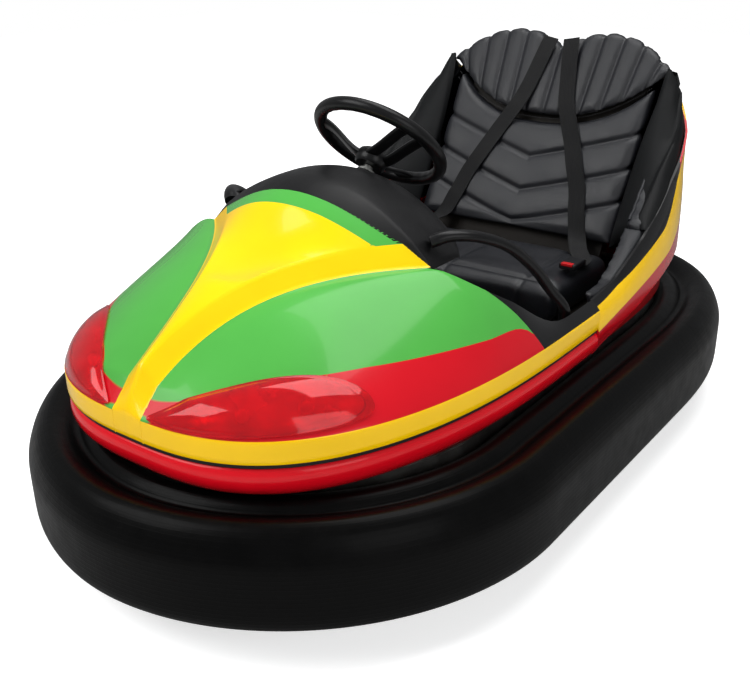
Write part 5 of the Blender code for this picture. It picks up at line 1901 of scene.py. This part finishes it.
def head_seams(points: Grid) -> Grid:
    """Distance to the headrest's upright channels, which fan out over each hump."""
    x, z = points[:, 0], points[:, 2]
    share = np.clip((z - smile_z(x)) / np.maximum(crest_z(x) - smile_z(x), 0.02), 0.0, 1.0)
    spread = np.abs(x) * (1.0 - 0.10 * share)
    lines = [np.abs(spread - at) for at in (0.0, 0.052, 0.104, 0.158, 0.212, 0.266, 0.318)]
    hem = np.abs(z - smile_z(x) - 0.012)
    return np.minimum(np.min(lines, axis=0), hem + 0.002)


def cushion_seams(points: Grid) -> Grid:
    """Distance to the cushion's front seam and its two long channels."""
    x, y = points[:, 0], points[:, 1]
    return np.minimum(np.abs(y - 0.165), np.minimum(np.abs(x), 0.004 + np.abs(np.abs(x) - 0.215)))


@dataclass
class Upholstery:
    """Cushion, backrest, headrest, bolsters and side pads, with piping and stitches."""

    def build(self) -> None:
        """Makes every pad and its trimming."""
        Pad("seat_cushion", "cushion_pad", 0.8, 0.008, 0.009, cushion_seams, 0.006, 0.009).build()
        Pad("seat_back", "backrest_pad", 0.8, 0.007, 0.007, back_seams, 0.0060, 0.0080).build()
        Pad("headrest_pad", "headrest_channels", 0.7, 0.0055, 0.0062, head_seams, 0.0050, 0.0065).build()
        for side, label in ((1, "left"), (-1, "right")):
            Pad(f"seat_bolster_{label}", f"bolster_pad_{label}", 0.9, 0.006, 0.006).build()
            Pad(f"side_pad_{label}", f"door_pad_{label}", 0.9, 0.0035, 0.0045).build()
            self.piping(label)
            self.wing(side, label)
        self.stitches()

    def wing(self, side: int, label: str) -> None:
        """The smooth padded panel from the backrest's edge out to the shell's rim, as high as the headrest."""
        rows, columns = 54, 26
        t = np.linspace(0.0, 1.0, rows)
        z = 0.405 + (0.816 - 0.405) * t
        inner = np.stack([0.296 + 0.034 * t**3, seat_face_y(z), z], axis=1) + FACE_OUT * (
            0.004 + 0.010 * t[:, None] ** 2
        )
        path = LINES.side_path(0.0, 181, True, LINES.seam_y)
        path = path[path[:, 0] > 0]
        run = run_along(path)
        start, end = np.interp(0.335, path[:, 1], run), np.interp(-0.340, -path[:, 0], run)
        want = start + (end - start) * t**0.92
        plan = np.stack([np.interp(want, run, path[:, k]) for k in (0, 1)], axis=1)
        rim = LINES.shell_rim_z(plan[:, 0], plan[:, 1])
        plan = moved_in(plan, LINES.shell_lean(1.0, rim) + 0.010)
        outer = np.column_stack([plan, rim + 0.006 + 0.010 * np.sin(np.clip(t * 1.1, 0, 1) * math.pi)])
        u = np.linspace(0.0, 1.0, columns)
        sheet = inner[:, None] * (1 - u)[None, :, None] + outer[:, None] * u[None, :, None]
        along, over = np.gradient(sheet, axis=0), np.gradient(sheet, axis=1)
        out = np.cross(along, over)
        out /= np.linalg.norm(out, axis=2, keepdims=True)
        out = np.where(out[..., 1:2] > 0, -out, out)
        crown = 0.020 * np.sin(u * math.pi) ** 0.7 + 0.010 * np.exp(-(((u - 0.90) / 0.07) ** 2))
        crown = crown * np.clip(np.minimum(t / 0.06, (1.0 - t) / 0.025), 0.0, 1.0)[:, None] ** 0.5
        front = (sheet + out * crown[..., None]) * (side, 1, 1)
        back = (sheet - out * 0.012 + np.array([0.0, 0.004, 0.0])) * (side, 1, 1)
        piece = Piece(f"side_wing_{label}", WING_VINYL, "black_leatherette", sharp=60.0)
        obj = piece.place(piece.build(*slab_data(front, back)))

    def piping(self, label: str) -> None:
        """The piped edge along the bolster's upper inner corner."""
        pad = bpy.data.objects[f"bolster_pad_{label}"]
        co = np.empty(len(pad.data.vertices) * 3, np.float32)
        pad.data.vertices.foreach_get("co", co)
        co = co.reshape(-1, 3).astype(float)
        spots = []
        for y in np.linspace(0.352, 0.628, 16):
            near = co[np.abs(co[:, 1] - y) < 0.008]
            inward = near[:, 2] - 0.75 * np.abs(near[:, 0])
            spots.append(near[np.argmax(inward)])
        path = smooth_path(spots, 90)
        for _ in range(6):
            path[1:-1] = (path[:-2] + path[1:-1] + path[2:]) / 3
        piece = Piece(f"bolster_piping_{label}", PAD_VINYL, "black_leatherette", sharp=60.0)
        piece.place(piece.build(*tube_data(path, 0.0042, 10)))

    def stitches(self) -> None:
        """Two rows of stitches beside the curved seam between backrest and headrest."""
        rows, ways = [], []
        for shift in (-0.0085, 0.0065):
            x = np.linspace(-0.288, 0.288, 700)
            z = smile_z(x) + shift
            line = np.column_stack([x, seat_face_y(z), z]) + FACE_OUT * 0.0022
            run = run_along(line)
            want = np.arange(0.0, run[-1], 0.0065)
            spots = np.stack([np.interp(want, run, line[:, k]) for k in range(3)], axis=1)
            rows.append(spots)
            ways.append(np.gradient(spots, axis=0))
        Stitching().build(
            "smile_seam_stitches", np.concatenate(rows), np.concatenate(ways), THREAD, "black_leatherette"
        )


# ---------------------------------------------------------------- belts
@dataclass(frozen=True)
class Webbing(Finish):
    """Woven polyester webbing: fine ribs across, with a raised selvedge."""

    def height_node(self, tree: Any, place: Any) -> Any:
        """Ribs 2.4 mm apart along the strap, a little coarser than real so that they show."""
        split = add_node(tree, "ShaderNodeSeparateXYZ", {}, {0: place.outputs["UV"]})
        run = maths_node(tree, "MULTIPLY", split.outputs["Y"], 2.0 * math.pi / 0.0024)
        cross = maths_node(tree, "MULTIPLY", split.outputs["X"], 2.0 * math.pi / 0.0046)
        rib = maths_node(tree, "SINE", run.outputs[0])
        weft = maths_node(tree, "SINE", cross.outputs[0])
        both = maths_node(tree, "MULTIPLY_ADD", weft.outputs[0], 0.5, rib.outputs[0])
        return both.outputs[0]


STRAP = Webbing(
    "woven_polyester_webbing", "#070708", roughness=0.50, sheen=0.06, bump=0.22, mottle=0.12, specular=0.35
)
# Buckle of black glass-filled nylon with a red release button.
BUCKLE_BLACK = Finish("glass_filled_nylon", "#141416", roughness=0.40, grain=1.4, bump=0.06)
BUTTON_RED = Finish("red_button_plastic", "#b3151a", roughness=0.35, grain=2.0, bump=0.04)


@dataclass
class Belts:
    """The two lap straps that come over the backrest from the notch, with their buckles.

    Args:
        width: of the webbing.
        stand: how far it stands off the frame's plane, over the pads' crowns.
    """

    width: float = 0.045
    stand: float = 0.0085

    def build(self) -> None:
        """Makes both straps and buckles."""
        for side, label in ((1, "left"), (-1, "right")):
            self.strap(side, label)
            self.buckle(label)

    def strap(self, side: int, label: str) -> None:
        """One flat strap, draped down the backrest and over the cushion."""
        on_back = [
            (0.030, 0.876),
            (0.045, 0.810),
            (0.065, 0.731),
            (0.088, 0.682),
            (0.114, 0.634),
            (0.140, 0.580),
            (0.167, 0.525),
            (0.184, 0.472),
        ]
        knots = [(x, float(seat_face_y(z)), z) for x, z in on_back]
        knots = [tuple(np.array(p) + FACE_OUT * self.stand) for p in knots]
        top = 0.395 + 0.011
        knots += [
            (0.205, 0.455, top + 0.016),
            (0.232, 0.408, top + 0.001),
            (0.262, 0.360, top),
            (0.282, 0.325, top - 0.001),
            (0.285, 0.302, top - 0.004),
        ]
        path = smooth_path(knots, 120)
        run = run_along(path)
        ahead = np.gradient(path, axis=0)
        flat = smooth_step((0.480 - path[:, 1]) / 0.050)[:, None]
        out = FACE_OUT * (1.0 - flat) + np.array([0.0, 0.0, 1.0]) * flat
        across = np.cross(ahead, out)
        across /= np.linalg.norm(across, axis=1, keepdims=True)
        out = np.cross(across, ahead)
        out /= np.linalg.norm(out, axis=1, keepdims=True)
        share = np.linspace(-1.0, 1.0, 9)
        lift = 0.0011 * np.sin(run * 38.0)[:, None] + 0.0006 * np.abs(share)[None] ** 4
        middle = path[:, None] + across[:, None] * (share * self.width / 2)[
            None, :, None
        ] + out[:, None] * lift[..., None]
        top_face = (middle + out[:, None] * 0.0007) * (side, 1, 1)
        low_face = (middle - out[:, None] * 0.0007) * (side, 1, 1)
        piece = Piece(f"belt_strap_{label}", STRAP, "belt_webbing", replaces=(f"belt_{label}",), sharp=50.0)
        points, faces = slab_data(top_face, low_face)
        obj = piece.build(points, faces)
        layer = obj.data.uv_layers.new(name="UVMap")
        columns, total = len(share), len(path) * len(share)
        for polygon in obj.data.polygons:
            for corner, vertex in zip(polygon.loop_indices, polygon.vertices):
                row, column = divmod(vertex % total, columns)
                layer.data[corner].uv = (column / (columns - 1) * self.width, run[row])
        piece.place(obj)

    def buckle(self, label: str) -> None:
        """A rounded buckle with its button and a steel tongue plate."""
        low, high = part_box(f"belt_buckle_{label}")
        middle, size = (low + high) / 2, high - low
        for name, finish, scale, shift, nodes in (
            (
                f"buckle_case_{label}",
                BUCKLE_BLACK,
                (1.0, 0.96, 1.0),
                (0.0, 0.0, 0.0),
                (f"belt_buckle_{label}",),
            ),
            (f"buckle_button_{label}", BUTTON_RED, (0.66, 0.22, 0.42), (0.0, -0.026, 0.0055), ()),
            (f"buckle_tongue_{label}", ZINC, (0.78, 0.20, 0.16), (0.0, 0.0345, 0.002), ()),
        ):
            work = bmesh.new()
            where = Matrix.Translation(middle + Vector(shift) + Vector((0, 0, 0.011))) @ Matrix.Diagonal(
                (size.x * scale[0], size.y * scale[1], size.z * scale[2], 1.0)
            )
            made = bmesh.ops.create_cube(work, size=1.0, matrix=where)
            edges = list({edge for vert in made["verts"] for edge in vert.link_edges})
            bmesh.ops.bevel(
                work,
                geom=edges,
                offset=min(size) * 0.30 * min(scale),
                segments=4,
                affect="EDGES",
                profile=0.5,
            )
            bmesh.ops.recalc_face_normals(work, faces=work.faces)
            mesh = bpy.data.meshes.new(name)
            work.to_mesh(mesh)
            work.free()
            piece = Piece(name, finish, "zinc_steel", replaces=nodes, sharp=30.0)
            piece.place(piece.link(mesh))


# ---------------------------------------------------------------- studio
@dataclass
class Studio:
    """Floor, backdrop, soft lights and camera.

    Args:
        eye: where the camera stands.
        azimuth: degrees round from looking along +Y.
        elevation: degrees above the horizon.
        roll: degrees.
        lens: focal length in millimetres on a 36 mm sensor.
        near_white: how white the floor looks beside the car, over its own lit colour.
        mirror_white: share of that which a mirror reflection shows.
        surround: strength of the soft light from all round.
        floor_tone: how much light the floor gives back.
        floor_mirrored: how much of it a reflection shows.
    """

    eye: tuple[float, float, float] = (1.2364, -1.7894, 1.1862)
    azimuth: float = 37.02
    elevation: float = 23.36
    roll: float = -0.89
    lens: float = 46.55
    near_white: float = 0.62
    mirror_white: float = 0.04
    surround: float = 0.22
    floor_tone: float = 0.78
    floor_mirrored: float = 0.26

    def camera(self) -> bpy.types.Object:
        """Makes the camera and gives it to the scene."""
        data = bpy.data.cameras.new("camera")
        data.lens = self.lens
        data.sensor_width = 36.0
        data.clip_end = 60.0
        obj = bpy.data.objects.new("camera", data)
        bpy.context.scene.collection.objects.link(obj)
        a, e = math.radians(self.azimuth), math.radians(self.elevation)
        back = Vector((math.sin(a) * math.cos(e), -math.cos(a) * math.cos(e), math.sin(e)))
        turn = back.to_track_quat("Z", "Y").to_matrix().to_4x4()
        obj.matrix_world = Matrix.Translation(self.eye) @ turn @ Matrix.Rotation(
            math.radians(self.roll), 4, "Z"
        )
        bpy.context.scene.camera = obj
        return obj

    def backdrop(self) -> None:
        """A pale floor that ends in white, and a white world for the camera and for reflections."""
        points = [(-9, -9, 0), (9, -9, 0), (9, 9, 0), (-9, 9, 0)]
        mesh = bpy.data.meshes.new("floor")
        mesh.from_pydata(points, [], [(0, 1, 2, 3)])
        floor = bpy.data.objects.new("floor", mesh)
        bpy.context.scene.collection.objects.link(floor)
        finish = bpy.data.materials.new("pale_floor")
        finish.use_nodes = True
        tree = finish.node_tree
        tree.nodes.clear()
        out = add_node(tree, "ShaderNodeOutputMaterial")
        place = add_node(tree, "ShaderNodeTexCoord")
        away = add_node(tree, "ShaderNodeVectorMath", {"operation": "LENGTH"}, {0: place.outputs["Object"]})
        # Paper white far off, and just short of it near the car, where its shadow lies.
        white = remap_node(tree, away.outputs["Value"], 1.1, 2.6, self.near_white, 1.0)
        path = add_node(tree, "ShaderNodeLightPath")
        # A reflection sees the floor darker, so that the paint and the rubber keep their colour.
        tone = remap_node(
            tree, path.outputs["Is Glossy Ray"], 0.0, 1.0, self.floor_tone, self.floor_mirrored
        )
        matt = add_node(tree, "ShaderNodeBsdfDiffuse", {}, {"Color": tone.outputs["Result"]})
        mirror = maths_node(tree, "MULTIPLY", path.outputs["Is Glossy Ray"], self.mirror_white)
        seen = maths_node(tree, "MAXIMUM", path.outputs["Is Camera Ray"], mirror.outputs[0])
        clear = maths_node(tree, "MAXIMUM", seen.outputs[0], path.outputs["Is Transmission Ray"])
        strength = maths_node(tree, "MULTIPLY", white.outputs["Result"], clear.outputs[0])
        glow = add_node(
            tree, "ShaderNodeEmission", {"Color": (1.0, 1.0, 1.0, 1.0)}, {"Strength": strength.outputs[0]}
        )
        both = add_node(tree, "ShaderNodeAddShader", {}, {0: matt.outputs[0], 1: glow.outputs[0]})
        tree.links.new(both.outputs[0], out.inputs["Surface"])
        mesh.materials.append(finish)

        world = bpy.data.worlds.new("studio")
        bpy.context.scene.world = world
        world.use_nodes = True
        tree = world.node_tree
        tree.nodes.clear()
        out = add_node(tree, "ShaderNodeOutputWorld")
        path = add_node(tree, "ShaderNodeLightPath")
        direct = maths_node(
            tree, "MAXIMUM", path.outputs["Is Camera Ray"], path.outputs["Is Transmission Ray"]
        )
        soft = add_node(
            tree, "ShaderNodeBackground", {"Color": (0.97, 0.98, 1.0, 1.0), "Strength": self.surround}
        )
        white = add_node(tree, "ShaderNodeBackground", {"Color": (1.0, 1.0, 1.0, 1.0), "Strength": 1.0})
        chosen = add_node(
            tree, "ShaderNodeMixShader", {}, {0: direct.outputs[0], 1: soft.outputs[0], 2: white.outputs[0]}
        )
        tree.links.new(chosen.outputs[0], out.inputs["Surface"])

    def lamp(
        self,
        name: str,
        place: Sequence[float],
        target: Sequence[float],
        size: tuple[float, float],
        watts: float,
        glint: float,
    ) -> None:
        """Adds one soft light, as two in one place: the second is the share that reflections show.

        Args:
            name: of the light.
            place: where it hangs.
            target: the point it faces.
            size: width and height of its face.
            watts: its power.
            glint: the share of its power that a reflection shows.
        """
        ahead = (Vector(target) - Vector(place)).normalized()
        for label, share, shows in ((name, 1.0 - glint, False), (f"{name}_glint", glint, True)):
            data = bpy.data.lights.new(label, "AREA")
            data.shape = "RECTANGLE"
            data.size, data.size_y = size
            data.energy = watts * share
            obj = bpy.data.objects.new(label, data)
            bpy.context.scene.collection.objects.link(obj)
            # The one that shows hangs just ahead, or the other would hide it.
            obj.location = Vector(place) + ahead * (0.02 if shows else 0.0)
            obj.rotation_mode = "QUATERNION"
            obj.rotation_quaternion = (Vector(place) - Vector(target)).to_track_quat("Z", "Y")
            obj.visible_glossy = shows

    def build(self) -> None:
        """Sets up the whole studio."""
        self.camera()
        self.backdrop()
        self.lamp("key_light", (-1.6, -2.8, 3.3), (0.0, 0.0, 0.4), (2.6, 2.2), 122.0, 0.28)
        self.lamp("overhead_light", (0.2, 0.6, 3.4), (0.0, 0.0, 0.3), (3.0, 1.6), 104.0, 0.26)
        self.lamp("side_light", (3.3, -1.7, 1.7), (0.2, 0.0, 0.4), (2.0, 2.0), 48.0, 0.20)
        view = bpy.context.scene.view_settings
        view.view_transform = "Standard"


def dress_frame() -> None:
    """Gives every carried-over frame node its finish, by the record's material slots."""
    slots = {row["node"]: row["material_slot"] for row in frame["record"]["subparts"]}
    for name, node in frame["nodes"].items():
        finish = CAD_FINISHES[slots[name]].make()
        node.data.materials.clear()
        node.data.materials.append(finish)


def main() -> None:
    """Builds the studio and every sub-assembly in turn."""
    logging.basicConfig(level=logging.INFO, format="%(name)s: %(message)s")
    Studio().build()
    dress_frame()
    BumperRing().build()
    FrontBody().build()
    RearBody().build()
    Skirts().build()
    Lamps().build()
    Cowl().build()
    Steering().build()
    Upholstery().build()
    Belts().build()


if __name__ == "__main__":
    main()
